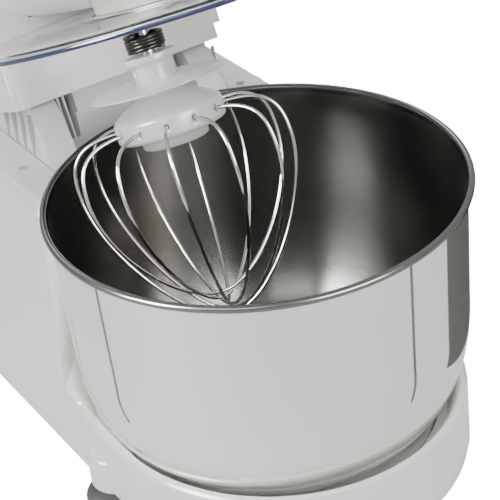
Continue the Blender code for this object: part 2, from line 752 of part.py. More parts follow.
def gear_outline(teeth, sign, turn=0.0):
    """Straight-flanked teeth; sign is +1 for outside teeth and -1 for inside ones."""
    pitch_radius = teeth * TOOTH_MODULE / 2
    root = pitch_radius - sign * TOOTH_ROOT
    tip = pitch_radius + sign * TOOTH_HEIGHT
    step = 2 * math.pi / teeth
    points = []
    for i in range(teeth):
        middle = turn + i * step
        for share, radius in ((-0.31, root), (-0.12, tip), (0.12, tip), (0.31, root)):
            a = middle + share * step
            points.append((radius * math.cos(a), radius * math.sin(a)))
    return points


def ring_gear():
    outlines = [circle(RING_OUTER, 36), gear_outline(RING_TEETH, -1, ORBIT_ANGLE + math.pi / RING_TEETH)]
    flat("ring_gear", outlines, HEAD_BOTTOM, HEAD_BOTTOM + 0.010, NYLON, HEAD)


def gearbox_plate():
    """Cast plate that holds the gear ring, the two shaft bearings and the motor bracket."""
    half = RING_OUTER - 0.009
    front = -RING_OUTER - 0.003
    outline = [(-half, front), (half, front), (half, MOTOR_Y + 0.032), (-half, MOTOR_Y + 0.032)]
    plate = flat("gearbox_plate", [outline], PLATE_LOW, PLATE_HIGH, CAST, HEAD)
    boss = rod("bearing_boss", 0.0150, (0, 0, PLATE_LOW + 0.001), BOSS_TOP - PLATE_LOW - 0.001, "Z", None, HEAD)
    bore = rod("bearing_bore", 0.0113, (0, 0, PLATE_LOW - 0.01), 0.04, "Z", None, HEAD)
    join(plate, boss)
    cut(plate, bore)


def bearings():
    height = 0.005
    for mark, low in (("lower", PLATE_LOW + 0.0004), ("upper", BOSS_TOP - height - 0.0004)):
        outline = tube_outline(MAIN_SHAFT_RADIUS + GAP, 0.0110, low, low + height)
        turned(mark + "_bearing", outline, STEEL, HEAD, steps=20)


def planet_carrier():
    """Turning disc that holds the whisk's shaft off the centre."""
    top = HEAD_BOTTOM - 0.0005
    disc = flat(
        "planet_carrier", [circle(CARRIER_RADIUS, 36)], top - CARRIER_HEIGHT, top, WHITE, HEAD
    )
    bevel(disc, 0.002, 1)
    hub = rod("carrier_hub", 0.012, (0, 0, top - 0.002), PLATE_LOW - 0.0008 - top + 0.002, "Z", None, HEAD)
    join(disc, hub)
    shaft_way = rod("main_shaft_way", MAIN_SHAFT_RADIUS + GAP, (0, 0, top - 0.008), 0.05, "Z", None, HEAD)
    tool_way = rod("tool_shaft_way", SHAFT_RADIUS + GAP, (0, 0, top - 0.05), 0.1, "Z", None, HEAD)
    tool_way.location = PLANET_PLACE
    cut(disc, shaft_way, tool_way)


def main_shaft():
    low = HEAD_BOTTOM - 0.0080
    rod("main_shaft", MAIN_SHAFT_RADIUS, (0, 0, low), PULLEY_HIGH + 0.001 - low, "Z", STEEL, HEAD)


def belt_reach(y, clearance):
    """Half the belt's width at a place between the pulleys."""
    return PULLEY_RADIUS + (MOTOR_PULLEY_RADIUS - PULLEY_RADIUS) * y / MOTOR_Y + clearance


def pulleys():
    large = tube_outline(MAIN_SHAFT_RADIUS + GAP, PULLEY_RADIUS, PULLEY_LOW, PULLEY_HIGH)
    turned("drive_pulley", large, NYLON, HEAD)
    small = tube_outline(SHAFT_RADIUS + GAP, MOTOR_PULLEY_RADIUS, PULLEY_LOW, PULLEY_HIGH)
    turned("motor_pulley", small, DARK_STEEL, HEAD, (0, MOTOR_Y, 0), 20)


def belt_loop(clearance):
    """A loop round both pulleys, at a distance from them."""
    lean = math.degrees(math.asin((PULLEY_RADIUS - MOTOR_PULLEY_RADIUS) / MOTOR_Y))
    around_drive = arc((0, 0), PULLEY_RADIUS + clearance, 180 - lean, 360 + lean, 28)
    around_motor = arc((0, MOTOR_Y), MOTOR_PULLEY_RADIUS + clearance, lean, 180 - lean, 10)
    return around_drive + around_motor


def drive_belt():
    outlines = [belt_loop(0.0026), belt_loop(0.0006)]
    flat("drive_belt", outlines, PULLEY_LOW + 0.0016, PULLEY_HIGH - 0.0016, RUBBER, HEAD)


def motor():
    """Vertical motor above the belt: bracket, can with its windings, armature and fan."""
    reach = MOTOR_RADIUS + 0.004
    bracket = box(
        "motor_bracket", (-reach, MOTOR_Y - reach, BRACKET_LOW), (reach, MOTOR_Y + reach - 0.002, BRACKET_HIGH),
        CAST, HEAD,
    )
    for side in (-1, 1):
        low = min(side * (reach - WALL), side * reach)
        leg = box(
            "bracket_leg_%d" % (side + 2), (low, MOTOR_Y - reach + 0.004, PLATE_HIGH + GAP),
            (low + WALL, MOTOR_Y + reach - 0.006, BRACKET_HIGH), None, HEAD,
        )
        join(bracket, leg)
    way = rod("motor_way", SHAFT_RADIUS + 0.003, (0, MOTOR_Y, BRACKET_LOW - 0.01), 0.03, "Z", None, HEAD)
    cut(bracket, way)
    top = MOTOR_LOW + MOTOR_HEIGHT
    can = [
        (MOTOR_RADIUS, top), (MOTOR_RADIUS, MOTOR_LOW),
        (SHAFT_RADIUS + 0.003, MOTOR_LOW), (SHAFT_RADIUS + 0.003, MOTOR_LOW + 0.002),
        (MOTOR_RADIUS - 0.002, MOTOR_LOW + 0.002), (MOTOR_RADIUS - 0.002, top),
    ]
    turned("motor_housing", can, DARK_STEEL, HEAD, (0, MOTOR_Y, 0), 24)
    coil = tube_outline(0.0175, MOTOR_RADIUS - 0.0025, MOTOR_LOW + 0.006, top - 0.004)
    turned("stator_winding", coil, COPPER, HEAD, (0, MOTOR_Y, 0), 24)
    armature = [
        (0, top + 0.0055), (SHAFT_RADIUS, top + 0.0055), (SHAFT_RADIUS, top - 0.006),
        (0.0165, top - 0.006), (0.0165, MOTOR_LOW + 0.008), (SHAFT_RADIUS, MOTOR_LOW + 0.008),
        (SHAFT_RADIUS, PULLEY_LOW), (0, PULLEY_LOW),
    ]
    turned("motor_armature", armature, DARK_STEEL, HEAD, (0, MOTOR_Y, 0), 20, closed=False)
    fan = rod("cooling_fan", 0.0075, (0, 0, top + 0.0008), 0.004, "Z", NYLON, HEAD, 16)
    fan.location = (0, MOTOR_Y, 0)
    for i in range(6):
        blade = box("fan_blade_%d" % i, (0.006, -0.0008, top + 0.0008), (0.023, 0.0008, top + 0.0048), None, HEAD)
        blade.location = (0, MOTOR_Y, 0)
        blade.rotation_euler.z = math.radians(60 * i)
        join(fan, blade)
    fan_bore = rod("fan_bore", SHAFT_RADIUS + GAP, (0, 0, top - 0.01), 0.03, "Z", None, HEAD)
    fan_bore.location = (0, MOTOR_Y, 0)
    cut(fan, fan_bore)


def planet_gear():
    gear = gear_outline(PLANET_TEETH, 1, ORBIT_ANGLE)
    flat(
        "planet_gear", [gear, circle(SHAFT_RADIUS + GAP, 20)], GEAR_LOW, GEAR_LOW + GEAR_HEIGHT, NYLON, PLANET
    )


PIN_RISE = 0.030             # the cross pin, above the middle of the hub


def tool_shaft():
    """Shaft that turns with the planet gear, and the cross pin the whisk locks on."""
    low = HUB_Z + 0.0045
    shaft = rod("tool_shaft", SHAFT_RADIUS, (0, 0, low), GEAR_LOW + GEAR_HEIGHT + 0.0005 - low, "Z", STEEL, PLANET)
    pin_way = rod("cross_pin_way", 0.0018, (-0.01, 0, HUB_Z + PIN_RISE), 0.02, "X", None, PLANET, 12)
    cut(shaft, pin_way)
    rod("cross_pin", 0.0015, (-0.0085, 0, HUB_Z + PIN_RISE), 0.017, "X", STEEL, PLANET, 12)


def tool_spring():
    """Coil spring between the carrier and the whisk's collar."""
    low = HUB_Z + SLEEVE_TOP + 0.0016
    high = HEAD_BOTTOM - 0.0005 - CARRIER_HEIGHT - 0.0016
    turns = 3
    sides = 10
    count = turns * sides
    points = []
    for i in range(count + 1):
        a = 2 * math.pi * i / sides
        points.append((0.0092 * math.cos(a), 0.0092 * math.sin(a), low + (high - low) * i / count))
    wire("tool_spring", points, 0.0013, DARK_STEEL, PLANET)


# ---------------------------------------------------------------- whisk
def whisk_hub():
    """Moulded hub and sleeve. The bore is blind, and a cross slot takes the pin."""
    top = SLEEVE_TOP
    bore = SHAFT_RADIUS + 0.0004
    outline = [
        (0, -0.002), (bore, -0.002), (bore, top), (SLEEVE_RADIUS + 0.0026, top),
        (SLEEVE_RADIUS + 0.0026, top - 0.003), (SLEEVE_RADIUS, top - 0.005), (SLEEVE_RADIUS, 0.017),
        (SLEEVE_RADIUS + 0.0015, 0.0145), (HUB_RADIUS - 0.002, 0.0065), (HUB_RADIUS, 0.0045),
        (HUB_RADIUS, -0.0050), (HUB_RADIUS - 0.0015, -0.0065), (0.018, -0.0065),
        (0.0175, -0.0120), (0.0160, -0.0128), (0, -0.0128),
    ]
    hub = turned("whisk_hub", outline, WHITE, WHISK, steps=28, closed=False)
    slot = box(
        "pin_slot", (-0.0095, -0.0021, PIN_RISE - PUSH_TRAVEL - 0.0025), (0.0095, 0.0021, top + 0.01), None, WHISK
    )
    cut(hub, slot)
    for i in range(2 * LOOPS):
        hole = rod("wire_hole_%d" % (i + 1), WIRE_RADIUS + 0.0004, (HUB_RADIUS - 0.0065, 0, 0), 0.02, "X", None, WHISK, 8)
        hole.rotation_euler.z = math.pi * i / LOOPS
        cut(hub, hole)


def drip_disc():
    """Thin disc on the sleeve that keeps batter off the spring."""
    inner = SLEEVE_RADIUS + GAP
    outline = [
        (inner, 0.0212), (DISC_RADIUS - 0.004, 0.0204), (DISC_RADIUS, 0.0192),
        (DISC_RADIUS, 0.0186), (DISC_RADIUS - 0.004, 0.0186), (inner, 0.0190),
    ]
    turned("drip_disc", outline, WHITE, WHISK, steps=28)


def bezier(points, count):
    """Points along a cubic curve (radius, height), without the first."""
    found = []
    for i in range(1, count + 1):
        t = i / count
        s = 1 - t
        weights = (s ** 3, 3 * s * s * t, 3 * s * t * t, t ** 3)
        found.append(tuple(sum(w * p[axis] for w, p in zip(weights, points)) for axis in (0, 1)))
    return found


def loop_profile(depth):
    """Half of one loop: out of the hub, over the shoulder, and down to the tip."""
    start = HUB_RADIUS - 0.0060
    wide = 0.027
    half = [(start, 0.0), (HUB_RADIUS + 0.001, 0.0)]
    half += bezier(
        [(HUB_RADIUS + 0.001, 0), (WHISK_RADIUS - 0.004, 0), (WHISK_RADIUS, -0.010), (WHISK_RADIUS, -wide)], 4
    )
    half += bezier(
        [(WHISK_RADIUS, -wide), (WHISK_RADIUS, -wide - 0.030), (0.024, -depth), (0.0, -depth)], 6
    )
    return half


def wire_loops():
    for number in range(LOOPS):
        turn = math.pi * number / LOOPS
        half = loop_profile(WHISK_LENGTH + LOOP_STEP * number)
        run = half + [(-radius, height) for radius, height in half[-2::-1]]
        points = [(radius * math.cos(turn), radius * math.sin(turn), height) for radius, height in run]
        wire("wire_loop_%d" % (number + 1), points, WIRE_RADIUS, STEEL, WHISK)


# ---------------------------------------------------------------- guard
def splash_guard():
    """Clear cover over the bowl, with a filling mouth at the front right."""
    collar = CARRIER_RADIUS + 0.0045
    top = HEAD_BOTTOM - GAP
    wall = GUARD_WALL
    outline = [
        (collar, top), (collar + 0.006, top), (collar + 0.007, top - 0.001),
        (GUARD_RADIUS - 0.012, GUARD_RIM_Z + 0.0045), (GUARD_RADIUS - 0.002, GUARD_RIM_Z + 0.004),
        (GUARD_RADIUS, GUARD_RIM_Z + 0.002), (GUARD_RADIUS, GUARD_RIM_Z),
        (GUARD_RADIUS - wall, GUARD_RIM_Z), (GUARD_RADIUS - wall - 0.001, GUARD_RIM_Z + 0.0018),
        (GUARD_RADIUS - 0.012, GUARD_RIM_Z + 0.0045 - wall), (collar + 0.006, top - 0.001 - wall),
        (collar, top - 0.001 - wall),
    ]
    guard = turned("splash_guard", outline, CLEAR, HEAD, steps=36)
    mouth = flat(
        "filling_mouth",
        [arc((0, 0), 0.098, -68, -22, 8) + arc((0, 0), 0.064, -22, -68, 6)],
        GUARD_RIM_Z - 0.02, HEAD_BOTTOM + 0.02, None, HEAD,
    )
    skirt_way = box(
        "guard_skirt_way", (-SKIRT_HALF_WIDTH - LEDGE - 0.001, SKIRT_FRONT - 0.002, 0.1),
        (SKIRT_HALF_WIDTH + LEDGE + 0.001, 0.2, 0.3), None, HEAD,
    )
    cut(guard, mouth, skirt_way)


for make in (
    base_shell, base_plate, feet, base_screws, bowl_seat, bowl, bowl_foot, hinge_parts, controls, latch,
    cable_inlet, head_upper_shell, head_lower_shell, hinge_neck, ring_gear, gearbox_plate, bearings,
    planet_carrier, main_shaft, pulleys, drive_belt, motor, planet_gear, tool_shaft, tool_spring,
    whisk_hub, drip_disc, wire_loops, splash_guard,
):
    make()
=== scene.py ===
# Stand mixer with its head raised: the looks of every piece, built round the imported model.
import json
import math

import bmesh
import bpy
import numpy as np
from mathutils import Matrix, Vector


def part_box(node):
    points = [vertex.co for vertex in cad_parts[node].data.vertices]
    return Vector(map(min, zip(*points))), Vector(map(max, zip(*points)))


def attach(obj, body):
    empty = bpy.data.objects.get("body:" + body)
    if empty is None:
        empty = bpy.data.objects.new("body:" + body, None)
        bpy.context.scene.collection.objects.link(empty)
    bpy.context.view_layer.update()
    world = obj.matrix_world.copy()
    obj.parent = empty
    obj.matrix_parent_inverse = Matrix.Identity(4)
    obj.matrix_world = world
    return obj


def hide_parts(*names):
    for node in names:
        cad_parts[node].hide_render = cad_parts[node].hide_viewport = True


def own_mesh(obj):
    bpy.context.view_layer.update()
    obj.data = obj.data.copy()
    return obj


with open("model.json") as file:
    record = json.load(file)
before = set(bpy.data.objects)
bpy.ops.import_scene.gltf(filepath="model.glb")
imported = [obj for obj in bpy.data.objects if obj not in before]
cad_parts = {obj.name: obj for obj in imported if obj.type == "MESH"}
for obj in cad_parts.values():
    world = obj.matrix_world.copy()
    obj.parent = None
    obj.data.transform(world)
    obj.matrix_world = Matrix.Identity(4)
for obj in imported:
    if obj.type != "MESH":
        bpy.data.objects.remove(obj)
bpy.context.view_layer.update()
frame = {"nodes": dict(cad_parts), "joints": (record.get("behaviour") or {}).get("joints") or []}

# Places read from the frame
mm = 0.001
joints = {joint["name"]: joint for joint in frame["joints"]}
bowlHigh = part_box("bowl")[1]
bowlAxis = np.array([0.0, joints["bowl_twist"]["pos_m"][1]])
rimHeight = bowlHigh.z
hinge = np.array(joints["head_tilt"]["pos_m"])
headUp = np.array(joints["carrier_spin"]["axis"])
tilt = math.atan2(headUp[1], headUp[2])
hingeReach = hinge[1] - bowlAxis[1]  # from the bowl's axis back to the hinge


def standPlace(points):
    # Points measured from the bowl's axis, moved into the frame.
    moved = np.array(points, dtype=float)
    moved[..., 1] += bowlAxis[1]
    return moved


def headPlace(points):
    # Points of the closed head, turned up about the hinge: y' = y cos t + z sin t, z' = z cos t - y sin t.
    local = np.array(points, dtype=float)
    back = local[..., 1] - hingeReach
    up = local[..., 2] - hinge[2]
    turned = local.copy()
    turned[..., 1] = hinge[1] + back * math.cos(tilt) + up * math.sin(tilt)
    turned[..., 2] = hinge[2] - back * math.sin(tilt) + up * math.cos(tilt)
    return turned


def closedPlace(point):
    # The inverse of headPlace, for one point of the frame.
    back = point[1] - hinge[1]
    up = point[2] - hinge[2]
    return np.array([
        point[0],
        hingeReach + back * math.cos(tilt) - up * math.sin(tilt),
        hinge[2] + back * math.sin(tilt) + up * math.cos(tilt),
    ])


toolAxis = closedPlace(joints["planet_spin"]["pos_m"])[:2]


def toolPlace(points):
    # Points measured from the whisk's axis in the closed head, moved into the frame.
    moved = np.array(points, dtype=float)
    moved[..., 0] += toolAxis[0]
    moved[..., 1] += toolAxis[1]
    return headPlace(moved)


# Mesh tools
def makeObject(name, mesh, materials):
    made = bpy.data.objects.new(name, mesh)
    bpy.context.scene.collection.objects.link(made)
    for material in materials:
        mesh.materials.append(material)
    return made


def gridMesh(name, points, materials, wrapU=False, wrapV=False, bands=None, smooth=40):
    # A skin over a grid of points (u, v). Wrapped sides close on themselves, and doubles are merged.
    rows, columns = points.shape[:2]
    u = np.arange(rows if wrapU else rows - 1)
    v = np.arange(columns if wrapV else columns - 1)
    u, v = np.meshgrid(u, v, indexing="ij")
    nextU = (u + 1) % rows
    nextV = (v + 1) % columns
    faces = np.stack([u * columns + v, nextU * columns + v, nextU * columns + nextV, u * columns + nextV], -1)
    mesh = bpy.data.meshes.new(name)
    mesh.from_pydata(points.reshape(-1, 3).tolist(), [], faces.reshape(-1, 4).tolist())
    if bands is not None:
        mesh.polygons.foreach_set("material_index", np.asarray(bands)[v.reshape(-1)].astype(np.int32))
    shape = bmesh.new()
    shape.from_mesh(mesh)
    bmesh.ops.remove_doubles(shape, verts=shape.verts, dist=0.000002)
    bmesh.ops.dissolve_degenerate(shape, edges=shape.edges, dist=0.000001)
    bmesh.ops.recalc_face_normals(shape, faces=shape.faces)
    shape.to_mesh(mesh)
    shape.free()
    mesh.shade_smooth()
    mesh.set_sharp_from_angle(angle=math.radians(smooth))
    return makeObject(name, mesh, materials)


def softPath(corners, radii, count=6):
    # A polyline whose corners are rounded: each corner c becomes (1-t)^2 a + 2t(1-t) c + t^2 b.
    corners = np.array(corners, dtype=float)
    parts = [corners[:1]]
    t = np.linspace(0, 1, count)[:, None]
    for before, corner, after, radius in zip(corners[:-2], corners[1:-1], corners[2:], radii[1:-1]):
        if radius <= 0:
            parts.append(corner[None])
            continue
        toBefore = before - corner
        toAfter = after - corner
        reach = min(radius, 0.49 * np.linalg.norm(toBefore), 0.49 * np.linalg.norm(toAfter))
        a = corner + toBefore / np.linalg.norm(toBefore) * reach
        b = corner + toAfter / np.linalg.norm(toAfter) * reach
        parts.append((1 - t) ** 2 * a + 2 * t * (1 - t) * corner + t ** 2 * b)
    parts.append(corners[-1:])
    return np.concatenate(parts)


def lathe(name, profile, place, materials, turns=144, bands=None, closed=False, smooth=40):
    # A turned skin: (r, z) becomes (r cos a, r sin a, z).
    profile = np.asarray(profile, dtype=float)
    angle = np.linspace(0, 2 * np.pi, turns, endpoint=False)[:, None]
    points = np.stack(
        [profile[:, 0] * np.cos(angle), profile[:, 0] * np.sin(angle), profile[:, 1] + 0 * angle], -1
    )
    return gridMesh(name, place(points), materials, True, closed, bands, smooth)


def tube(name, path, side, radius, materials, sides=14):
    # A round wire: p + radius (cos a side + sin a up), where up = tangent x side.
    path = np.asarray(path, dtype=float)
    tangent = np.gradient(path, axis=0)
    tangent /= np.linalg.norm(tangent, axis=1)[:, None]
    up = np.cross(tangent, side)
    reach = np.full(len(path), radius)
    path = np.concatenate([path[:1], path, path[-1:]])
    side = np.concatenate([side[:1], side, side[-1:]])
    up = np.concatenate([up[:1], up, up[-1:]])
    reach = np.concatenate([[0], reach, [0]])
    angle = np.linspace(0, 2 * np.pi, sides, endpoint=False)
    points = path[:, None] + reach[:, None, None] * (
        np.cos(angle)[None, :, None] * side[:, None] + np.sin(angle)[None, :, None] * up[:, None]
    )
    return gridMesh(name, points, materials, False, True)


def prism(name, outline, halfWidth, place, materials, edge=0.0, segments=4, axis="x"):
    # A block from a flat outline: side view (y, z) carried along x, or plan (x, y) carried along z.
    outline = np.asarray(outline, dtype=float)
    low, high = halfWidth if np.ndim(halfWidth) else (-halfWidth, halfWidth)
    ends = []
    for level in (low, high):
        flat = np.full(len(outline), level)
        if axis == "x":
            ends.append(np.stack([flat, outline[:, 0], outline[:, 1]], -1))
        else:
            ends.append(np.stack([outline[:, 0], outline[:, 1], flat], -1))
    points = place(np.concatenate(ends))
    count = len(outline)
    ring = np.arange(count)
    following = (ring + 1) % count
    walls = np.stack([ring, following, following + count, ring + count], -1).tolist()
    mesh = bpy.data.meshes.new(name)
    mesh.from_pydata(points.tolist(), [], walls + [ring.tolist(), (ring + count).tolist()])
    shape = bmesh.new()
    shape.from_mesh(mesh)
    bmesh.ops.recalc_face_normals(shape, faces=shape.faces)
    shape.to_mesh(mesh)
    shape.free()
    mesh.shade_smooth()
    mesh.set_sharp_from_angle(angle=math.radians(35))
    made = makeObject(name, mesh, materials)
    if edge:
        soften(made, edge, segments)
    return made


def soften(piece, width, segments=3, angle=35):
    # Rounds the sharp edges of a piece.
    rounding = piece.modifiers.new("edges", "BEVEL")
    rounding.width = width
    rounding.segments = segments
    rounding.limit_method = "ANGLE"
    rounding.angle_limit = math.radians(angle)
    rounding.harden_normals = True


def thicken(piece, thickness):
    # Gives an open skin its wall, inwards.
    wall = piece.modifiers.new("wall", "SOLIDIFY")
    wall.thickness = thickness
    wall.offset = -1
    wall.use_even_offset = True


def carve(piece, *tools, operation="DIFFERENCE"):
    # Cuts tools out of a piece for good, and removes them.
    for tool in tools:
        boolean = piece.modifiers.new("carve", "BOOLEAN")
        boolean.operation = operation
        boolean.solver = "EXACT"
        boolean.object = tool
    settle(piece)
    for tool in tools:
        bpy.data.objects.remove(tool, do_unlink=True)


def settle(piece):
    # Applies a piece's modifiers.
    graph = bpy.context.evaluated_depsgraph_get()
    mesh = bpy.data.meshes.new_from_object(piece.evaluated_get(graph))
    piece.modifiers.clear()
    piece.data = mesh


def placed(piece, body, slot, *nodes):
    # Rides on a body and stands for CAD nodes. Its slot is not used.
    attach(piece, body)
    if nodes:
        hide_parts(*nodes)
    return piece


# Materials
def linear(hexColour):
    # sRGB hex to linear: c/12.92 below 0.04045, else ((c + 0.055)/1.055)^2.4.
    values = np.array([int(hexColour[i:i + 2], 16) / 255 for i in (1, 3, 5)])
    values = np.where(values <= 0.04045, values / 12.92, ((values + 0.055) / 1.055) ** 2.4)
    return (*values.tolist(), 1.0)


def addNode(tree, kind, settings=(), links=()):
    # Adds a shader node, sets its inputs or attributes, and links (from node, output, input).
    node = tree.nodes.new(kind)
    for key, value in dict(settings).items():
        if isinstance(key, str) and hasattr(node, key) and key not in node.inputs:
            setattr(node, key, value)
        else:
            node.inputs[key].default_value = value
    for source, output, target in links:
        tree.links.new(source.outputs[output], node.inputs[target])
    return node


def finish(name, colour, roughness, metallic=0.0, **more):
    # A Principled finish with its constant values on the shader's own sockets.
    made = bpy.data.materials.new(name)
    made.use_nodes = True
    shader = made.node_tree.nodes["Principled BSDF"]
    shader.inputs["Base Color"].default_value = linear(colour)
    shader.inputs["Roughness"].default_value = roughness
    shader.inputs["Metallic"].default_value = metallic
    for key, value in more.items():
        shader.inputs[key.replace("_", " ")].default_value = value
    return made, made.node_tree, shader


def lift(tree, shader, source, strength, depth):
    # A fine bump from a pattern's Fac, its depth in mm.
    settings = {"Strength": strength, "Distance": depth * mm}
    bump = addNode(tree, "ShaderNodeBump", settings, [(source, "Fac", "Height")])
    tree.links.new(bump.outputs["Normal"], shader.inputs["Normal"])


def speckle(tree, shader, grain, low, high, strength, depth, detail=3.0, where=None):
    # Noise moves the roughness between low and high, and lifts a bump. It reads Object coordinates unless
    # another place is given as (node, output).
    node, output = where or (addNode(tree, "ShaderNodeTexCoord"), "Object")
    noise = addNode(
        tree, "ShaderNodeTexNoise", {"Scale": 1 / (grain * mm), "Detail": detail}, [(node, output, "Vector")]
    )
    spread = addNode(tree, "ShaderNodeMapRange", {"To Min": low, "To Max": high}, [(noise, "Fac", "Value")])
    tree.links.new(spread.outputs["Result"], shader.inputs["Roughness"])
    lift(tree, shader, noise, strength, depth)


def speckled(name, colour, roughness, metallic, grain, **more):
    # A finish with its speckle: grain in mm, roughness from and to, bump strength, bump depth in mm, detail.
    made, tree, shader = finish(name, colour, roughness, metallic, **more)
    speckle(tree, shader, *grain)
    return made


def brushedSteel():
    # Stainless steel spun against an abrasive: fine rings round the axis, which draw highlights into streaks.
    # A quarter turn of the anisotropy sends the streaks across the rings, up the wall.
    # The base colour is far darker than the steel's own and the buffed outside: painted shade for the dark
    # inside of the bowl.
    made, tree, shader = finish(
        "spunStainless", "#6F6E6A", 0.25, 1.0, Anisotropic=0.92, Anisotropic_Rotation=0.25
    )
    where = addNode(tree, "ShaderNodeTexCoord")
    centred = addNode(
        tree, "ShaderNodeMapping", {"Location": (0, -bowlAxis[1], 0)}, [(where, "Object", "Vector")]
    )
    parts = addNode(tree, "ShaderNodeSeparateXYZ", {}, [(centred, "Vector", "Vector")])
    squareX = addNode(tree, "ShaderNodeMath", {"operation": "MULTIPLY"}, [(parts, "X", 0), (parts, "X", 1)])
    square = addNode(
        tree, "ShaderNodeMath", {"operation": "MULTIPLY_ADD"},
        [(parts, "Y", 0), (parts, "Y", 1), (squareX, "Value", 2)],
    )
    radius = addNode(tree, "ShaderNodeMath", {"operation": "SQRT"}, [(square, "Value", 0)])
    rings = addNode(tree, "ShaderNodeCombineXYZ", {}, [(radius, "Value", "X"), (parts, "Z", "Y")])
    # Real scratches are about 0.1 mm apart. These are 0.7 mm, so that they show.
    speckle(tree, shader, 0.7, 0.225, 0.285, 0.12, 0.05, 2.0, (rings, "Vector"))
    around = addNode(tree, "ShaderNodeTangent", {"direction_type": "RADIAL", "axis": "Z"})
    tree.links.new(around.outputs["Tangent"], shader.inputs["Tangent"])
    return made


def copperWire():
    # Enamelled copper windings: fine turns that run round the coil.
    made, tree, shader = finish("enamelledCopper", "#B4693C", 0.3, 1.0)
    where = addNode(tree, "ShaderNodeTexCoord")
    turns = addNode(
        tree, "ShaderNodeTexWave",
        {"Scale": 1 / (2.0 * mm) / 6.2832, "bands_direction": "Z", "Distortion": 1.5},
        [(where, "Object", "Vector")],
    )
    lift(tree, shader, turns, 0.6, 0.3)
    return made


def circuitBoard():
    # Glass-epoxy board under green solder mask, with copper tracks that show as paler lines.
    made, tree, shader = finish("solderMask", "#1E5B33", 0.35, IOR=1.5)
    where = addNode(tree, "ShaderNodeTexCoord")
    maskColours = {"Color1": linear("#1E5B33"), "Color2": linear("#24683B"), "Mortar": linear("#3E8A55")}
    tracks = addNode(
        tree, "ShaderNodeTexBrick", {"Scale": 60.0, "Mortar Size": 0.03, **maskColours},
        [(where, "Object", "Vector")],
    )
    tree.links.new(tracks.outputs["Color"], shader.inputs["Base Color"])
    return made


print("materials")
# Injection-moulded ABS, polished mould: bright white, a soft gloss with a faint orange-peel ripple.
whiteAbs = speckled("glossyWhiteAbs", "#EFEFEC", 0.24, 0.0, (9.0, 0.20, 0.29, 0.05, 0.3, 1.0), IOR=1.53)
# The same ABS from an unpolished mould, for inside faces: duller, and slightly greyer as painted shade.
insideShadedAbs = speckled("satinWhiteAbs", "#E4E4E0", 0.45, 0.0, (1.2, 0.40, 0.52, 0.12, 0.05), IOR=1.53)
# Stainless steel buffed to a mirror: sharp reflections, with buffing waves too wide to see as lines.
mirror = speckled("buffedStainless", "#DEDEDB", 0.05, 1.0, (22.0, 0.035, 0.07, 0.03, 0.2, 1.0))
shadedBrushed = brushedSteel()
# The rolled rim of the bowl: stainless rubbed to a satin sheen, its colour darkened below the steel's own as
# painted shade for the dark reflection along the rim.
beadShadeSteel = speckled("rubbedStainless", "#6B6A68", 0.20, 1.0, (0.9, 0.15, 0.25, 0.08, 0.02))
# Electropolished stainless wire: bright, with faint drawing marks along it.
wireSteel = speckled("drawnStainlessWire", "#BDBCB8", 0.12, 1.0, (1.5, 0.08, 0.16, 0.08, 0.03))
# Oil-tempered spring wire: nearly black, with a greasy sheen.
springWire = speckled("oiledSpringWire", "#3B3936", 0.3, 1.0, (1.0, 0.22, 0.40, 0.2, 0.05))
# Ground steel for shafts and pins: even and grey.
shaftSteel = speckled("groundSteel", "#A7A6A3", 0.22, 1.0, (0.8, 0.16, 0.30, 0.1, 0.02))
# Clear SAN, moulded: almost colourless through its face.
clear = speckled(
    "clearSan", "#F4F6FC", 0.03, 0.0, (30.0, 0.02, 0.05, 0.02, 0.3, 1.0), IOR=1.5, Transmission_Weight=1.0
)
# The edge of the clear moulding gathers light along its length, and so looks blue-violet.
clearEdge = speckled(
    "clearSanEdge", "#2F3560", 0.12, 0.0, (12.0, 0.08, 0.18, 0.05, 0.1, 1.0), IOR=1.5, Transmission_Weight=0.15
)
# Moulded nitrile rubber: black, dull, with a fine dusty grain.
rubber = speckled("mouldedRubber", "#262626", 0.62, 0.0, (0.9, 0.50, 0.72, 0.35, 0.08), IOR=1.52)
# Spark-eroded grey ABS: a fine even grain.
grey = speckled("grainedGreyAbs", "#8A8B8D", 0.5, 0.0, (0.7, 0.42, 0.58, 0.35, 0.06), IOR=1.53)
# Pale grey ABS from a blasted mould, even and dull: painted shade, as grey plates where the white cheek walls
# lie in the shadow of the head's skirt.
shadeGreyPlastic = speckled("satinGreyAbs", "#A9AAA9", 0.42, 0.0, (1.0, 0.36, 0.48, 0.15, 0.05), IOR=1.53)
# Die-cast aluminium: grey, with flow marks and a rough skin.
cast = speckled("dieCastAluminium", "#9EA0A2", 0.45, 1.0, (1.6, 0.36, 0.58, 0.4, 0.12))
# Natural nylon: milky, waxy, slightly yellow.
nylonWhite = speckled(
    "naturalNylon", "#DAD6C8", 0.42, 0.0, (1.4, 0.36, 0.5, 0.15, 0.05), IOR=1.53, Subsurface_Weight=0.15
)
copper = copperWire()
board = circuitBoard()
# Grey ink for the dial's figures, pad printed: flat and slightly dull.
printGrey = finish("padPrintGrey", "#6A6B6D", 0.5)[0]

# CAD pieces whose shape stays, by the finish that each gets.
carriedOver = {
    "base_plate": grey, "bowl_foot": mirror, "bowl_seat": insideShadedAbs, "control_board": board,
    "stator_winding": copper, "drive_belt": rubber,
}
for material, nodes in (
    (shaftSteel, "hinge_pin latch_bolt knob_shaft lower_bearing upper_bearing main_shaft tool_shaft cross_pin"),
    (nylonWhite, "hinge_bush_left hinge_bush_right speed_switch ring_gear drive_pulley cooling_fan"),
    (nylonWhite, "planet_gear"),
    (cast, "gearbox_plate motor_bracket"),
    (springWire, "motor_housing motor_armature motor_pulley latch_spring"),
):
    carriedOver.update((node, material) for node in nodes.split())
for number in range(1, 5):
    carriedOver["base_screw_%d" % number] = springWire
for node, material in carriedOver.items():
    for slot in frame["nodes"][node].material_slots:
        slot.material = material

# Camera, floor and light
print("camera and studio")
# Degrees to the side, above the horizon and of roll, then metres, and the lens in millimetres.
cameraPlace = {
    "turn": -29.5, "lift": 32.4, "roll": -6.96, "distance": 0.896, "right": -0.0069, "up": -0.0402,
    "lens": 121.9,
}


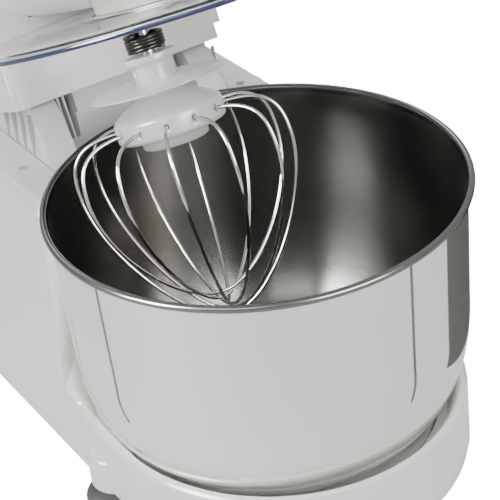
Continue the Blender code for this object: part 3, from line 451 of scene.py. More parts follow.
def placeCamera(place):
    turn, lift, roll = (math.radians(place[key]) for key in ("turn", "lift", "roll"))
    back = Vector((math.sin(turn) * math.cos(lift), -math.cos(turn) * math.cos(lift), math.sin(lift)))
    right = Vector((math.cos(turn), math.sin(turn), 0))
    up = Vector((-math.sin(turn) * math.sin(lift), math.cos(turn) * math.sin(lift), math.cos(lift)))
    target = Vector((0, bowlAxis[1], rimHeight)) + right * place["right"] + Vector((0, 0, place["up"]))
    rolledRight = right * math.cos(roll) + up * math.sin(roll)
    rolledUp = up * math.cos(roll) - right * math.sin(roll)
    data = bpy.data.cameras.new("camera")
    data.lens = place["lens"]
    data.clip_end = 100
    camera = bpy.data.objects.new("camera", data)
    bpy.context.scene.collection.objects.link(camera)
    camera.matrix_world = Matrix.Translation(target + back * place["distance"]) @ Matrix(
        (rolledRight, rolledUp, back)
    ).transposed().to_4x4()
    bpy.context.scene.camera = camera


def areaLight(name, place, target, size, power):
    data = bpy.data.lights.new(name, "AREA")
    data.shape = "RECTANGLE"
    data.size, data.size_y = size
    data.energy = power
    made = bpy.data.objects.new(name, data)
    made.location = place
    made.rotation_euler = (Vector(target) - Vector(place)).to_track_quat("-Z", "Y").to_euler()
    bpy.context.scene.collection.objects.link(made)
    return made


def unseen(piece, *rays):
    # Hides a piece or a light from some kinds of ray.
    for ray in rays:
        setattr(piece, "visible_" + ray, False)


# Half the floor's side in metres, its glow, and the sky's strength at the horizon and overhead.
studio = {
    "floor": 60.0, "glow": 14.0, "horizon": 0.55, "zenith": 1.15,
    "lights": (
        ("keyLight", (-1.3, -1.2, 1.7), (0, 0, 0.15), (1.0, 1.0), 14),
        ("streakLight", (-1.5, -0.1, 1.0), (0, 0, 0.15), (0.72, 0.9), 200),
        ("fillLight", (0.32, -1.7, 1.1), (0, 0, 0.15), (1.1, 0.9), 75),
        ("rearLight", (0.3, 1.6, 1.5), (0, 0, 0.25), (1.2, 0.6), 8),
    ),
    # Grey cards that only the polished steel sees: bearing in degrees, distance, width and height.
    "cards": ((-7, 0.162, 0.165, 0.175), (165.6, 0.173, 0.005, 0.16), (-60.5, 0.18, 0.005, 0.16)),
}
placeCamera(cameraPlace)
for light in studio["lights"]:
    lamp = areaLight(*light)
    # Two of the lights draw the streaks in the steel, and leave the white plastic alone.
    if light[0] in ("streakLight", "fillLight"):
        unseen(lamp, "diffuse")


def makeFloor(name, height, glow):
    # A flat square sheet.
    half = studio["floor"]
    corners = [(-half, -half, height), (half, -half, height), (half, half, height), (-half, half, height)]
    mesh = bpy.data.meshes.new(name)
    mesh.from_pydata(corners, [], [(0, 1, 2, 3)])
    white = linear("#FFFFFF")
    paper = finish(name + "Paper", "#F6F6F5", 0.8, Emission_Color=white, Emission_Strength=glow)[0]
    sheet = makeObject(name, mesh, [paper])
    return sheet


# The floor that is seen glows like a lit table, and the one just under it lights the object.
tableTop = makeFloor("floor", 0.0, studio["glow"])
unseen(tableTop, "diffuse", "glossy", "transmission", "shadow")
makeFloor("underFloor", -0.0005, 0.0)
world = bpy.data.worlds.new("studioWorld")
world.use_nodes = True
skyTree = world.node_tree
skyTree.nodes["Background"].inputs["Color"].default_value = linear("#FFFFFF")
# Strength rises from the horizon to straight overhead.
sky = addNode(skyTree, "ShaderNodeTexCoord")
skyParts = addNode(skyTree, "ShaderNodeSeparateXYZ", {}, [(sky, "Generated", "Vector")])
rising = addNode(
    skyTree, "ShaderNodeMapRange",
    {"From Min": 0.0, "From Max": 0.8, "To Min": studio["horizon"], "To Max": studio["zenith"]},
    [(skyParts, "Z", "Value")],
)
skyTree.links.new(rising.outputs["Result"], skyTree.nodes["Background"].inputs["Strength"])
cardGrey = finish("greyFelt", "#6A6A69", 0.95)[0]
for number, (bearing, distance, width, height) in enumerate(studio["cards"], 1):
    turn = math.radians(bearing)
    out = np.array([math.cos(turn), math.sin(turn), 0])
    across = np.array([-out[1], out[0], 0]) * width / 2
    middle = out * distance + [0, bowlAxis[1], 0.001]
    up = np.array([0, 0, height])
    corners = [middle - across, middle + across, middle + across + up, middle - across + up]
    cardMesh = bpy.data.meshes.new("card%d" % number)
    cardMesh.from_pydata([tuple(corner) for corner in corners], [], [(0, 1, 2, 3)])
    card = makeObject("card%d" % number, cardMesh, [cardGrey])
    unseen(card, "camera", "diffuse", "shadow")
bpy.context.scene.world = world

# Bowl
print("bowl")
bowlSize = {
    "radius": bowlHigh.x - 0.0035, "depth": 0.145, "wall": 0.0009, "bead": 0.002, "flat": 0.060,
    "corner": 0.073, "power": 2.3, "pinch": 0.0015,
}


def bowlWall(height, inset):
    # Radius of the bowl at a height above its bottom: a superellipse quarter below, a slight flare above.
    size = bowlSize
    foot = size["radius"] - size["pinch"]
    share = np.clip(1 - height / size["corner"], 0, 1)
    power = size["power"]
    corner = size["flat"] + (foot - size["flat"]) * np.clip(1 - share ** power, 0, 1) ** (1 / power)
    rise = np.clip((height - size["corner"]) / (size["depth"] - size["corner"]), 0, 1)
    return corner + size["pinch"] * rise - inset


def makeBowl():
    size = bowlSize
    bottom = rimHeight - size["depth"]
    turn = np.linspace(0, np.pi / 2, 28)
    lower = size["corner"] * (1 - np.sin(turn) ** (2 / size["power"]))[::-1]
    upper = np.linspace(size["corner"], size["depth"] - 2 * size["bead"], 14)[1:]
    heights = np.concatenate([lower, upper])
    outer = np.stack([bowlWall(heights, 0), heights + bottom], -1)
    floorRise = size["wall"] * np.clip(1 - heights / size["corner"], 0, 1)
    inner = np.stack([bowlWall(heights, size["wall"]), heights + bottom + floorRise], -1)
    turn = np.radians(np.linspace(180, -90, 16))
    bead = np.stack([
        size["radius"] + size["bead"] - 0.0005 + size["bead"] * np.cos(turn),
        rimHeight - size["bead"] + size["bead"] * np.sin(turn),
    ], -1)
    ringsIn = np.linspace(0, 1, 8)[:-1, None] * np.array([[size["flat"], 0]])
    floorIn = ringsIn + np.array([[0, bottom + size["wall"]]])
    floorOut = (ringsIn + np.array([[0, bottom]]))[::-1]
    profile = np.concatenate([floorIn, inner, bead, outer[::-1], floorOut])
    bands = np.zeros(len(profile), dtype=int)
    bands[len(floorIn) + len(inner) - 1:] = 1
    bands[len(floorIn) + len(inner) + len(bead) - 1:] = 2
    piece = lathe("bowl_shell", profile, standPlace, [shadedBrushed, beadShadeSteel, mirror], 256, bands)
    placed(piece, "bowl", "polished_steel", "bowl")


makeBowl()

# Whisk and its drive
print("whisk")
whiskSize = {
    "hub": 0.146, "radius": 0.029, "sleeve": 0.011, "sleeveTop": 0.035, "disc": 0.037, "wire": 0.001,
    "loops": 6, "wide": 0.0575, "shoulder": 0.027, "length": 0.096, "step": 0.0026, "bore": 0.0044,
}


def whiskPlace(points):
    # Points measured from the middle of the whisk's hub.
    moved = np.array(points, dtype=float)
    moved[..., 2] += whiskSize["hub"]
    return toolPlace(moved)


def bezier(corners, t):
    # (1-t)^3 a + 3t(1-t)^2 b + 3t^2(1-t) c + t^3 d.
    a, b, c, d = (np.array(corner) for corner in corners)
    t = t[:, None]
    return (1 - t) ** 3 * a + 3 * t * (1 - t) ** 2 * b + 3 * t ** 2 * (1 - t) * c + t ** 3 * d


def loopPath(depth):
    # Half a loop as (radius, height): straight out of the hub, over the shoulder, down to the tip.
    size = whiskSize
    out = size["radius"] + 0.001
    wide = size["wide"]
    drop = size["shoulder"]
    straight = np.stack([np.linspace(size["radius"] - 0.006, out, 5), np.zeros(5)], -1)
    shoulder = bezier([(out, 0), (wide - 0.004, 0), (wide, -0.010), (wide, -drop)], np.linspace(0, 1, 18))
    belly = bezier(
        [(wide, -drop), (wide, -drop - 0.030), (0.024, -depth), (0, -depth)], np.linspace(0, 1, 30)
    )
    return np.concatenate([straight[:-1], shoulder[:-1], belly])


def makeLoops():
    size = whiskSize
    for number in range(size["loops"]):
        turn = math.pi * number / size["loops"]
        side = loopPath(size["length"] + size["step"] * number)
        run = np.concatenate([side, side[-2::-1] * [-1, 1]])
        path = np.stack([run[:, 0] * math.cos(turn), run[:, 0] * math.sin(turn), run[:, 1]], -1)
        across = np.tile([-math.sin(turn), math.cos(turn), 0], (len(path), 1))
        placedPath = whiskPlace(path)
        placedSide = whiskPlace(across) - whiskPlace(np.zeros((len(path), 3)))
        piece = tube("whisk_loop_%d" % (number + 1), placedPath, placedSide, size["wire"], [wireSteel])
        placed(piece, "whisk", "polished_steel", "wire_loop_%d" % (number + 1))


def blockAt(name, low, high, place):
    # A plain block for carving, given by two corners.
    outline = [(low[1], low[2]), (high[1], low[2]), (high[1], high[2]), (low[1], high[2])]
    return prism(name, outline, (low[0], high[0]), place, [])


def sideBlock(name, side, near, far, low, high, place):
    # A block between two distances from the middle plane, on the side given. low and high are (y, z).
    left, right = sorted((side * near, side * far))
    return blockAt(name, (left, *low), (right, *high), place)


def rodAt(name, start, end, radius, place, sides=32):
    # A round rod for carving, between two points.
    start = np.array(start, dtype=float)
    end = np.array(end, dtype=float)
    along = (end - start) / np.linalg.norm(end - start)
    side = np.cross(along, [0.31, 0.52, 0.79])
    side /= np.linalg.norm(side)
    up = np.cross(along, side)
    angle = np.linspace(0, 2 * np.pi, sides, endpoint=False)[:, None]
    ring = radius * (np.cos(angle) * side + np.sin(angle) * up)
    points = np.stack([start + 0 * ring, start + ring, end + ring, end + 0 * ring], 1)
    return gridMesh(name, place(points), [], True)


def makeHub():
    size = whiskSize
    radius = size["radius"]
    sleeve = size["sleeve"]
    top = size["sleeveTop"]
    corners = [
        (0, -0.002), (size["bore"], -0.002), (size["bore"], top), (sleeve + 0.0026, top),
        (sleeve + 0.0026, top - 0.003), (sleeve, top - 0.005), (sleeve, 0.017), (sleeve + 0.0015, 0.0145),
        (radius - 0.002, 0.0065), (radius, 0.0045), (radius, -0.0050), (radius - 0.0015, -0.0065),
        (0.018, -0.0065), (0.0175, -0.0120), (0.0160, -0.0128), (0, -0.0128),
    ]
    radii = [0, 0.0004, 0.0005, 0.0006, 0.0006, 0.0012, 0.004, 0.003, 0.002, 0.0016, 0.0016, 0.0012, 0.0006]
    radii += [0.001, 0.001, 0]
    piece = lathe("whisk_body", softPath(corners, radii), whiskPlace, [whiteAbs], 128)
    cutters = [blockAt("slit", (-0.0130, -0.0020, 0.0225), (0.0130, 0.0020, top + 0.01), whiskPlace)]
    for number in range(2 * size["loops"]):
        turn = math.pi * number / size["loops"]
        out = np.array([math.cos(turn), math.sin(turn), 0])
        start, end = out * (radius - 0.006), out * (radius + 0.01)
        cutters.append(rodAt("hole%d" % number, start, end, size["wire"] + 0.0005, whiskPlace, 16))
    carve(piece, *cutters)
    placed(piece, "whisk", "white_abs", "whisk_hub")


def makeDisc():
    inner = whiskSize["sleeve"] + 0.0003
    outer = whiskSize["disc"]
    corners = [
        (inner, 0.0212), (outer - 0.004, 0.0204), (outer, 0.0192), (outer, 0.0186), (outer - 0.004, 0.0186),
        (inner, 0.0190), (inner, 0.0212),
    ]
    profile = softPath(corners, [0, 0.003, 0.0003, 0.0003, 0.001, 0, 0])[:-1]
    piece = lathe("drip_shield", profile, whiskPlace, [whiteAbs], 128, closed=True)
    placed(piece, "whisk", "white_abs", "drip_disc")


springSize = {"coil": 0.0092, "wire": 0.0013, "turns": 4.6, "deadTurns": 0.9, "low": 0.1826, "high": 0.1944}


def makeSpring():
    # Coil (R cos a, R sin a, z(a)): the end turns lie flat, and the rise between them is even.
    size = springSize
    turns = np.linspace(0, size["turns"], 220)
    share = np.clip((turns - size["deadTurns"]) / (size["turns"] - 2 * size["deadTurns"]), 0, 1)
    free = size["high"] - size["low"] - 2 * size["wire"]
    angle = turns * 2 * np.pi
    closed = 2 * size["wire"] * 0.98
    dead = size["deadTurns"]
    rise = closed * np.clip(turns, 0, dead) + closed * np.clip(turns - size["turns"] + dead, 0, 1)
    free -= 2 * closed * dead
    height = size["low"] + rise + free * share
    path = np.stack([size["coil"] * np.cos(angle), size["coil"] * np.sin(angle), height], -1)
    outward = np.stack([np.cos(angle), np.sin(angle), 0 * angle], -1)
    outward = toolPlace(outward) - toolPlace(np.zeros((len(path), 3)))
    piece = tube("tension_spring", toolPlace(path), outward, size["wire"], [springWire], 12)
    placed(piece, "planet", "dark_steel", "tool_spring")
    top = toolPlace(np.array([0, 0, size["high"]]))
    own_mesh(piece)


carrierSize = {
    "top": 0.2075, "thick": 0.0115, "radius": 0.047, "bossTop": 0.2174, "boss": 0.012, "mainWay": 0.0053,
    "toolWay": 0.0043,
}


def makeCarrier():
    size = carrierSize
    top, boss = size["top"], size["boss"]
    low = top - size["thick"]
    radius = size["radius"]
    corners = [
        (0, size["bossTop"]), (boss, size["bossTop"]), (boss, top), (radius, top), (radius, low),
        (radius - 0.006, low),
        (radius - 0.0065, low + 0.0012), (0.016, low + 0.0012), (0.0155, low), (0, low),
    ]
    radii = [0, 0.0004, 0.0004, 0.0015, 0.002, 0.0012, 0.0004, 0.0004, 0.0004, 0]
    piece = lathe("planet_disc", softPath(corners, radii), headPlace, [whiteAbs], 128)
    x, y = toolAxis
    carve(
        piece,
        rodAt("mainWay", (0, 0, top - 0.008), (0, 0, 0.23), size["mainWay"], headPlace),
        rodAt("toolWay", (x, y, low - 0.01), (x, y, 0.23), size["toolWay"], headPlace),
    )
    placed(piece, "carrier", "white_abs", "planet_carrier")


makeLoops()
makeHub()
makeDisc()
makeSpring()
makeCarrier()

# Base and column
print("base")
baseSize = {
    "half": 0.1025, "front": 0.108, "rear": 0.246, "rearDepth": 0.036, "bottom": 0.012, "lip": 0.054,
    "edge": 0.0055, "shoulder": 0.161, "shoulderHalf": 0.088, "peak": 0.190, "slotHalf": 0.0425,
    "reach": 0.0815, "riseFrom": 0.050, "riseLength": 0.036, "slopeFrom": 0.192, "slopeLength": 0.062,
    "slopeFall": 0.023, "cheekHalf": 0.0585, "cheekRear": 0.189, "cheekFall": 0.033, "leanFrom": 0.014,
    "rearLean": 0.034,
    "lipWidth": 0.004, "dishRear": 0.110, "dishFall": 0.008, "recess": 0.0885, "recessTop": 0.034,
    "seat": 0.023, "room": 0.1195, "boss": 0.0165,
}
# Cut into the shoulders: a square keyhole, and lines as (name, near, far, front, rear, depth).
shoulderMarks = {
    "keyX": 0.0726, "keyY": 0.1298, "keyReach": 0.0036, "keyFloor": 0.125,
    "lines": (
        ("panelLine", 0.0613, 0.0622, 0.100, 0.196, 0.0040), ("dash", 0.0682, 0.0716, 0.1087, 0.1099, 0.0060),
    ),
}
feetPlaces = [(side * x, y) for x, y in ((0.048, -0.062), (0.091, 0.030), (0.074, 0.205)) for side in (-1, 1)]
hingeLocal = (hingeReach, hinge[2])


def smooth(value):
    # 3t^2 - 2t^3, held at 0 and 1 outside.
    t = np.clip(value, 0, 1)
    return t * t * (3 - 2 * t)


def softMax(a, b, width):
    # The larger of two heights, with a rounded valley of the given width between them.
    blend = np.clip(0.5 + 0.5 * (a - b) / width, 0, 1)
    return b + (a - b) * blend + width * blend * (1 - blend)


def evenly(points, count):
    # A closed outline walked at even steps.
    closed = np.concatenate([points, points[:1]])
    walked = np.concatenate([[0], np.cumsum(np.linalg.norm(np.diff(closed, axis=0), axis=1))])
    steps = np.linspace(0, walked[-1], count, endpoint=False)
    return np.stack([np.interp(steps, walked, closed[:, axis]) for axis in (0, 1)], -1)


def standAt(x, y):
    # A place function for a turned piece that stands at (x, y).
    return lambda points: standPlace(points + [x, y, 0])


def baseOutline(count, inset=0.0):
    # Elliptical nose (a cos t, b sin t), straight sides, and a rear on powers 0.5 of cos t and sin t.
    size = baseSize
    half = size["half"] - inset
    t = np.linspace(-np.pi / 2, 0, 120, endpoint=False)
    nose = np.stack([half * np.cos(t), (size["front"] - inset) * np.sin(t)], -1)
    t = np.linspace(0, np.pi / 2, 120)
    rear = size["rear"] - inset
    back = np.stack([
        half * np.cos(t).clip(0) ** 0.5, rear - size["rearDepth"] + size["rearDepth"] * np.sin(t) ** 0.5
    ], -1)
    side = np.concatenate([nose, back])
    return evenly(np.concatenate([side, side[-2:0:-1] * [-1, 1]]), count)


def casingHeight(x, y):
    # Height of the casing: a low lip in front, a rise into the shoulders, and a round-fronted cheek each side.
    size = baseSize
    slope = size["slopeFall"] * smooth((y - size["slopeFrom"]) / size["slopeLength"])
    rise = smooth((y - size["riseFrom"]) / size["riseLength"])
    shoulder = size["lip"] + (size["shoulder"] - size["lip"] - slope) * rise
    across = np.clip(size["reach"] ** 2 - (y - hingeLocal[0]) ** 2, 0, None)
    front = hingeLocal[1] + np.sqrt(across)
    flank = size["peak"] - (np.abs(x) - size["cheekHalf"]) / 0.003 * size["cheekFall"]
    back = size["peak"] - (y - size["cheekRear"]) / 0.008 * size["cheekFall"]
    cheek = np.minimum(np.minimum(front, size["peak"]), np.minimum(flank, back))
    return softMax(shoulder, cheek, 0.004)


def dishPoints(inset, height):
    # The dish: the nose's ellipse inside the lip, and a square-shouldered rear.
    size = baseSize
    t = np.linspace(0, 2 * np.pi, 160, endpoint=False)
    half = size["half"] - size["lipWidth"] - inset
    front = size["front"] - size["lipWidth"] - inset
    rear = size["dishRear"] - inset
    ahead = np.sin(t) < 0
    x = np.where(ahead, half * np.cos(t), half * np.sign(np.cos(t)) * np.abs(np.cos(t)) ** 0.6)
    y = np.where(ahead, front * np.sin(t), rear * np.abs(np.sin(t)) ** 0.6)
    return np.stack([x, y, 0 * t + height], -1)


def loftRings(name, rings, place, materials):
    # A closed skin through rings of points, with both ends drawn in to their middles.
    first = rings[0].mean(0) + 0 * rings[0]
    last = rings[-1].mean(0) + 0 * rings[-1]
    return gridMesh(name, place(np.stack([first, *rings, last], 1)), materials, True)


def makeCasing():
    size = baseSize
    edge = size["edge"]
    ring = baseOutline(360)
    ahead = np.roll(ring, -1, 0) - np.roll(ring, 1, 0)
    inward = np.stack([-ahead[:, 1], ahead[:, 0]], -1) / np.linalg.norm(ahead, axis=1)[:, None]
    column = smooth((ring[:, 1] - 0.02) / 0.05)
    atRear = smooth((ring[:, 1] - 0.2) / 0.04)

    def drawn(height, inset):
        # The outline at a height: the column's sides lean in, and the edge is inset.
        lean = (1 - size["shoulderHalf"] / size["half"]) / (size["shoulder"] - size["leanFrom"])
        rise = np.clip(height - size["leanFrom"], 0, None)
        x = ring[:, 0] * (1 - lean * rise * column) + inward[:, 0] * inset
        y = ring[:, 1] - size["rearLean"] * rise * atRear + inward[:, 1] * inset
        return x, y

    guess = 0 * column + size["lip"]
    for _ in range(4):
        guess = casingHeight(*drawn(guess, edge))
    rows = []
    middle = np.clip(ring[:, 1], -0.02, 0.20)
    rows.append(np.stack([0 * middle, middle, 0 * middle + size["bottom"]], -1))
    for share in np.linspace(0, 1, 22):
        height = size["bottom"] + (guess - edge - size["bottom"]) * share
        x, y = drawn(height, 0.0008 * (share == 0))
        rows.append(np.stack([x, y, height], -1))
    for turn in np.linspace(0, np.pi / 2, 7)[1:]:
        height = guess - edge + edge * np.sin(turn)
        x, y = drawn(height, edge * (1 - np.cos(turn)))
        rows.append(np.stack([x, y, height], -1))
    x, y = rows[-1][:, 0], rows[-1][:, 1]
    for share in np.linspace(0, 1, 64)[1:]:
        inX = x * (1 - share)
        inY = y + (middle - y) * share
        rows.append(np.stack([inX, inY, casingHeight(inX, inY)], -1))
    piece = gridMesh("stand_casing", standPlace(np.stack(rows, 1)), [whiteAbs, insideShadedAbs], True, smooth=50)
    floorZ = hingeLocal[1] - 0.029
    joined = []
    for x, y in feetPlaces[2:4]:
        corners = [
            (0, size["bottom"]), (size["boss"], size["bottom"]), (size["boss"], size["recessTop"]),
            (0, size["recessTop"]),
        ]
        profile = softPath(corners, [0, 0.0003, 0.004, 0])
        joined.append(lathe("boss", profile, standAt(x, y), [whiteAbs], 64))
    carve(piece, *joined, operation="UNION")
    inside = baseOutline(120, 0.003)
    lip = size["lip"]
    dish = (
        (size["dishFall"], size["recessTop"] - 0.001), (0.0025, lip - 0.004), (0.0008, lip - 0.0012),
        (-0.0008, lip + 0.0006), (-0.0008, lip + 0.02),
    )
    cutters = [
        rodAt("room", (0, 0, size["lip"] + 0.0002), (0, 0, 0.3), size["room"], standPlace, 128),
        rodAt("recess", (0, 0, size["seat"]), (0, 0, 0.045), size["recess"], standPlace, 128),
        loftRings("dish", [dishPoints(inset, height) for inset, height in dish], standPlace, []),
        blockAt("slot", (-size["slotHalf"], 0.05, floorZ), (size["slotHalf"], 0.3, 0.25), standPlace),
        prism("underSeat", inside, (size["bottom"] - 0.01, size["seat"] - 0.003), standPlace, [], axis="z"),
        blockAt(
            "rearRoom", (-0.083, size["room"] + 0.003, 0.0), (0.083, size["rear"] - 0.014, floorZ - 0.003),
            standPlace,
        ),
    ]
    top = size["shoulder"]
    y, z = hingeLocal
    for side in (-1, 1):
        low, high = (0.132, z - 0.034), (y + 0.022, top - 0.016)
        cutters.append(sideBlock("cheekRoom", side, 0.0485, 0.082, low, high, standPlace))
    cutters.append(rodAt("pinHole", (-0.07, y, z), (0.07, y, z), 0.0103, standPlace))
    for y, z in (controls["knob"], controls["lever"]):
        cutters.append(rodAt("shaftHole", (0.07, y, z), (0.13, y, z), 0.0045, standPlace))
    y, z = controls["lever"]
    cutters.append(rodAt("boltHole", (0.03, y, z), (0.06, y, z), 0.0044, standPlace))
    x, z = controls["inlet"]
    start, end = (x, size["rear"] - 0.03, z), (x, size["rear"] + 0.03, z)
    cutters.append(rodAt("inletHole", start, end, 0.0062, standPlace))
    marks = shoulderMarks
    reach = marks["keyReach"]
    for side in (-1, 1):
        x, y = side * marks["keyX"], marks["keyY"]
        diamond = [(x - reach, y), (x, y - reach), (x + reach, y), (x, y + reach)]
        cutters.append(prism("keyhole", diamond, (marks["keyFloor"], 0.18), standPlace, [], axis="z"))
        for name, near, far, front, rear, depth in marks["lines"]:
            cutters.append(
                sideBlock(name, side, near, far, (front, top - depth), (rear, top + 0.01), standPlace)
            )
    carve(piece, *cutters)
    soften(piece, 0.0009, 2, 42)
    placed(piece, "base", "white_abs", "base_shell")


# Sizes of the grey plates that paint the skirt's shade onto the cheeks.
shadePlateSize = {"near": 0.0595, "far": 0.0609, "ribNear": 0.0600, "ribFar": 0.0622, "ribs": 5, "pitch": 0.011}


def makeTrims():
    # A ribbed grey side plate on each cheek, painted shade where the white cheek wall lies under the skirt: its
    # front is the cheek's own arc about the hinge.
    size, trim = baseSize, shadePlateSize
    y, z = hingeLocal
    low = size["shoulder"]
    high = size["peak"] - 0.001
    turn = np.linspace(np.pi, np.pi - math.asin((high - z) / size["reach"]), 20)
    front = np.stack([y + size["reach"] * np.cos(turn), z + size["reach"] * np.sin(turn)], -1)
    rear = [(0.187, high), (0.187, low - 0.002), (front[0, 0], low - 0.002)]
    outline = np.concatenate([front, rear])
    for side, name in ((-1, "left"), (1, "right")):
        span = sorted((side * trim["near"], side * trim["far"]))
        plate = prism("cheek_trim_" + name, outline, span, standPlace, [shadeGreyPlastic])
        ribs = []
        for step in range(trim["ribs"]):
            back = front[0, 0] + 0.012 + trim["pitch"] * step
            start, end = (back, low - 0.001), (back + 0.0016, high - 0.002)
            ribs.append(sideBlock("rib", side, trim["ribNear"], trim["ribFar"], start, end, standPlace))
        carve(plate, *ribs, operation="UNION")
        soften(plate, 0.0004, 2, 50)
        placed(plate, "base", "grey_abs")


# Places of the knob and the lever as (y, z) and of the inlet as (x, z).
controls = {
    "knob": (0.168, 0.098), "lever": (0.150, 0.138), "inlet": (-0.05, 0.030), "gap": 0.002,
    "knobRadius": 0.019, "knobDepth": 0.010, "leverEye": 0.011, "leverTip": 0.006, "leverLength": 0.028,
}


def sideFace(height):
    # How far out the casing's side stands at a height.
    size = baseSize
    share = (height - size["bottom"]) / (size["shoulder"] - size["bottom"])
    return size["half"] + (size["shoulderHalf"] - size["half"]) * share


makeCasing()
makeTrims()

# Feet, controls and inlet
print("feet and controls")
footSize = {"radius": 0.021, "neck": 0.0085, "stem": 0.0048, "plate": 0.015, "base": 0.012}


def makeFeet():
    size = footSize
    radius = size["radius"]
    corners = [
        (0, size["plate"] + 0.003), (size["stem"], size["plate"] + 0.003),
        (size["stem"], size["base"] - 0.0003), (size["neck"], size["base"] - 0.0003), (size["neck"], 0.0075),
        (radius - 0.004, 0.0046), (radius, 0.0016), (radius, 0), (radius - 0.005, 0), (0.006, 0.0034),
        (0, 0.0035),
    ]
    radii = [0, 0.0008, 0.0003, 0.0010, 0.003, 0.003, 0.0010, 0.0003, 0.003, 0.002, 0]
    profile = softPath(corners, radii)
    for number, (x, y) in enumerate(feetPlaces, 1):
        piece = lathe("suction_foot_%d" % number, profile, standAt(x, y), [rubber], 96)
        placed(piece, "base", "black_rubber", "foot_%d" % number)


def sidePlace(y, z, out):
    # For a piece turned round an axis that leaves the right side: (x, y, z) becomes (out + z, y + x, z + y).
    def place(points):
        points = np.array(points, dtype=float)
        moved = np.stack([out + points[..., 2], y + points[..., 0], z + points[..., 1]], -1)
        return standPlace(moved)
    return place


def makeControls():
    y, z = controls["knob"]
    face = sideFace(z)
    radius = controls["knobRadius"]
    depth = controls["knobDepth"]
    corners = [(0, 0), (radius, 0), (radius, 0.006), (radius - 0.0022, depth), (0, depth)]
    place = sidePlace(y, z, face + controls["gap"])
    knob = lathe("speed_dial", softPath(corners, [0, 0.0006, 0.002, 0.0016, 0]), place, [grey, whiteAbs], 128)
    grip = [(-0.0035, 0), (0.0035, 0), (0.0030, 0.0155), (-0.0030, 0.0155)]
    ridge = prism("ridge", grip, radius - 0.002, lambda p: place(np.asarray(p)[..., [1, 0, 2]]), [grey])
    carve(knob, ridge, operation="UNION")
    carve(knob, rodAt("socket", (0, 0, -0.002), (0, 0, 0.007), 0.0035, place))
    soften(knob, 0.0007, 3, 40)
    placed(knob, "speed_knob", "grey_abs", "speed_knob")
    marker = prism(
        "dial_pointer", [(-0.0008, 0.0152), (0.0008, 0.0152), (0.0008, 0.0157), (-0.0008, 0.0157)],
        (0.006, radius - 0.0026), lambda p: place(np.asarray(p)[..., [1, 0, 2]]), [whiteAbs],
    )
    placed(marker, "speed_knob", "white_abs")
    y, z = controls["lever"]
    face = sideFace(z)
    place = sidePlace(y, z, face + controls["gap"])
    turn = np.linspace(np.pi / 2, 3 * np.pi / 2, 20)
    reach = controls["leverTip"]
    tip = np.stack([-controls["leverLength"] + reach * np.cos(turn), reach * np.sin(turn)], -1)
    turn = np.radians(np.linspace(-148, 148, 48))
    reach = controls["leverEye"]
    eye = np.stack([reach * np.cos(turn), reach * np.sin(turn)], -1)
    outline = np.concatenate([eye, tip])
    lever = prism("head_release", outline, (0, 0.006), place, [grey], axis="z")
    shaft = rodAt("shaft", (0, 0, 0.003), (0, 0, 0.0700 - face), 0.004, place)
    carve(lever, shaft, operation="UNION")
    soften(lever, 0.0010, 3, 40)
    placed(lever, "release_lever", "grey_abs", "release_lever")
    inlet = [
        (0.0036, -0.010), (0.0055, -0.010), (0.0055, 0.0), (0.0095, 0.0), (0.0090, 0.0022), (0.0062, 0.0030),
        (0.0082, 0.0042), (0.0056, 0.0052), (0.0075, 0.0064), (0.0068, 0.007), (0.0036, 0.007),
        (0.0036, -0.010),
    ]
    rear = baseSize["rear"] + 0.0002

    inletX, inletZ = controls["inlet"]

    def inletPlace(points):
        points = np.array(points, dtype=float)
        moved = np.stack([inletX + points[..., 0], rear + points[..., 2], inletZ - points[..., 1]], -1)
        return standPlace(moved)

    profile = softPath(inlet, [0] + [0.0005] * 10 + [0])[:-1]
    grommet = lathe("lead_grommet", profile, inletPlace, [rubber], 72, closed=True)
    placed(grommet, "base", "black_rubber", "cable_inlet")


# Bearing of the first figure and the step between figures in degrees, then metres.
scaleSize = {
    "first": 60, "step": 35, "figures": 7, "inner": 0.0225, "outer": 0.0252, "tick": 0.0005, "ring": 0.0290,
    "text": 0.0052, "proud": 0.0001,
}


def makeScale():
    # Ticks and figures round the speed knob, printed in grey on the side.
    size = scaleSize
    y, z = controls["knob"]
    for number in range(size["figures"]):
        turn = math.radians(size["first"] - number * size["step"])
        along = np.array([math.cos(turn), math.sin(turn)])
        across = np.array([-along[1], along[0]])
        inner, outer = along * size["inner"], along * size["outer"]
        edge = across * size["tick"]
        outline = np.array([inner - edge, outer - edge, outer + edge, inner + edge])
        text = bpy.data.curves.new("figure", "FONT")
        text.body = str(number)
        text.size = size["text"]
        text.align_x = "CENTER"
        text.align_y = "CENTER"
        text.extrude = 0.00005
        figure = bpy.data.objects.new("figure", text)
        bpy.context.scene.collection.objects.link(figure)
        mesh = bpy.data.meshes.new_from_object(figure.evaluated_get(bpy.context.evaluated_depsgraph_get()))
        bpy.data.objects.remove(figure, do_unlink=True)
        points = np.zeros(len(mesh.vertices) * 3)
        mesh.vertices.foreach_get("co", points)
        points = points.reshape(-1, 3)
        here = along * size["ring"]
        height = z + here[1] + points[:, 1]
        out = sideFace(height) + size["proud"] + points[:, 2]
        moved = np.stack([out, y + here[0] + points[:, 0], height], -1)
        mesh.vertices.foreach_set("co", standPlace(moved).reshape(-1))
        mesh.update()
        piece = makeObject("dial_figure_%d" % number, mesh, [printGrey])
        placed(piece, "base", "grey_abs")
        tick = prism("dial_tick_%d" % number, outline, (-0.0001, 0.0001), lambda p: p, [printGrey], axis="z")
        points = np.array([v.co for v in tick.data.vertices])
        height = z + points[:, 1]
        out = sideFace(height) + size["proud"] + points[:, 2]
        moved = np.stack([out, y + points[:, 0], height], -1)
        tick.data.vertices.foreach_set("co", standPlace(moved).reshape(-1))
        placed(tick, "base", "grey_abs")


makeFeet()
makeControls()
makeScale()

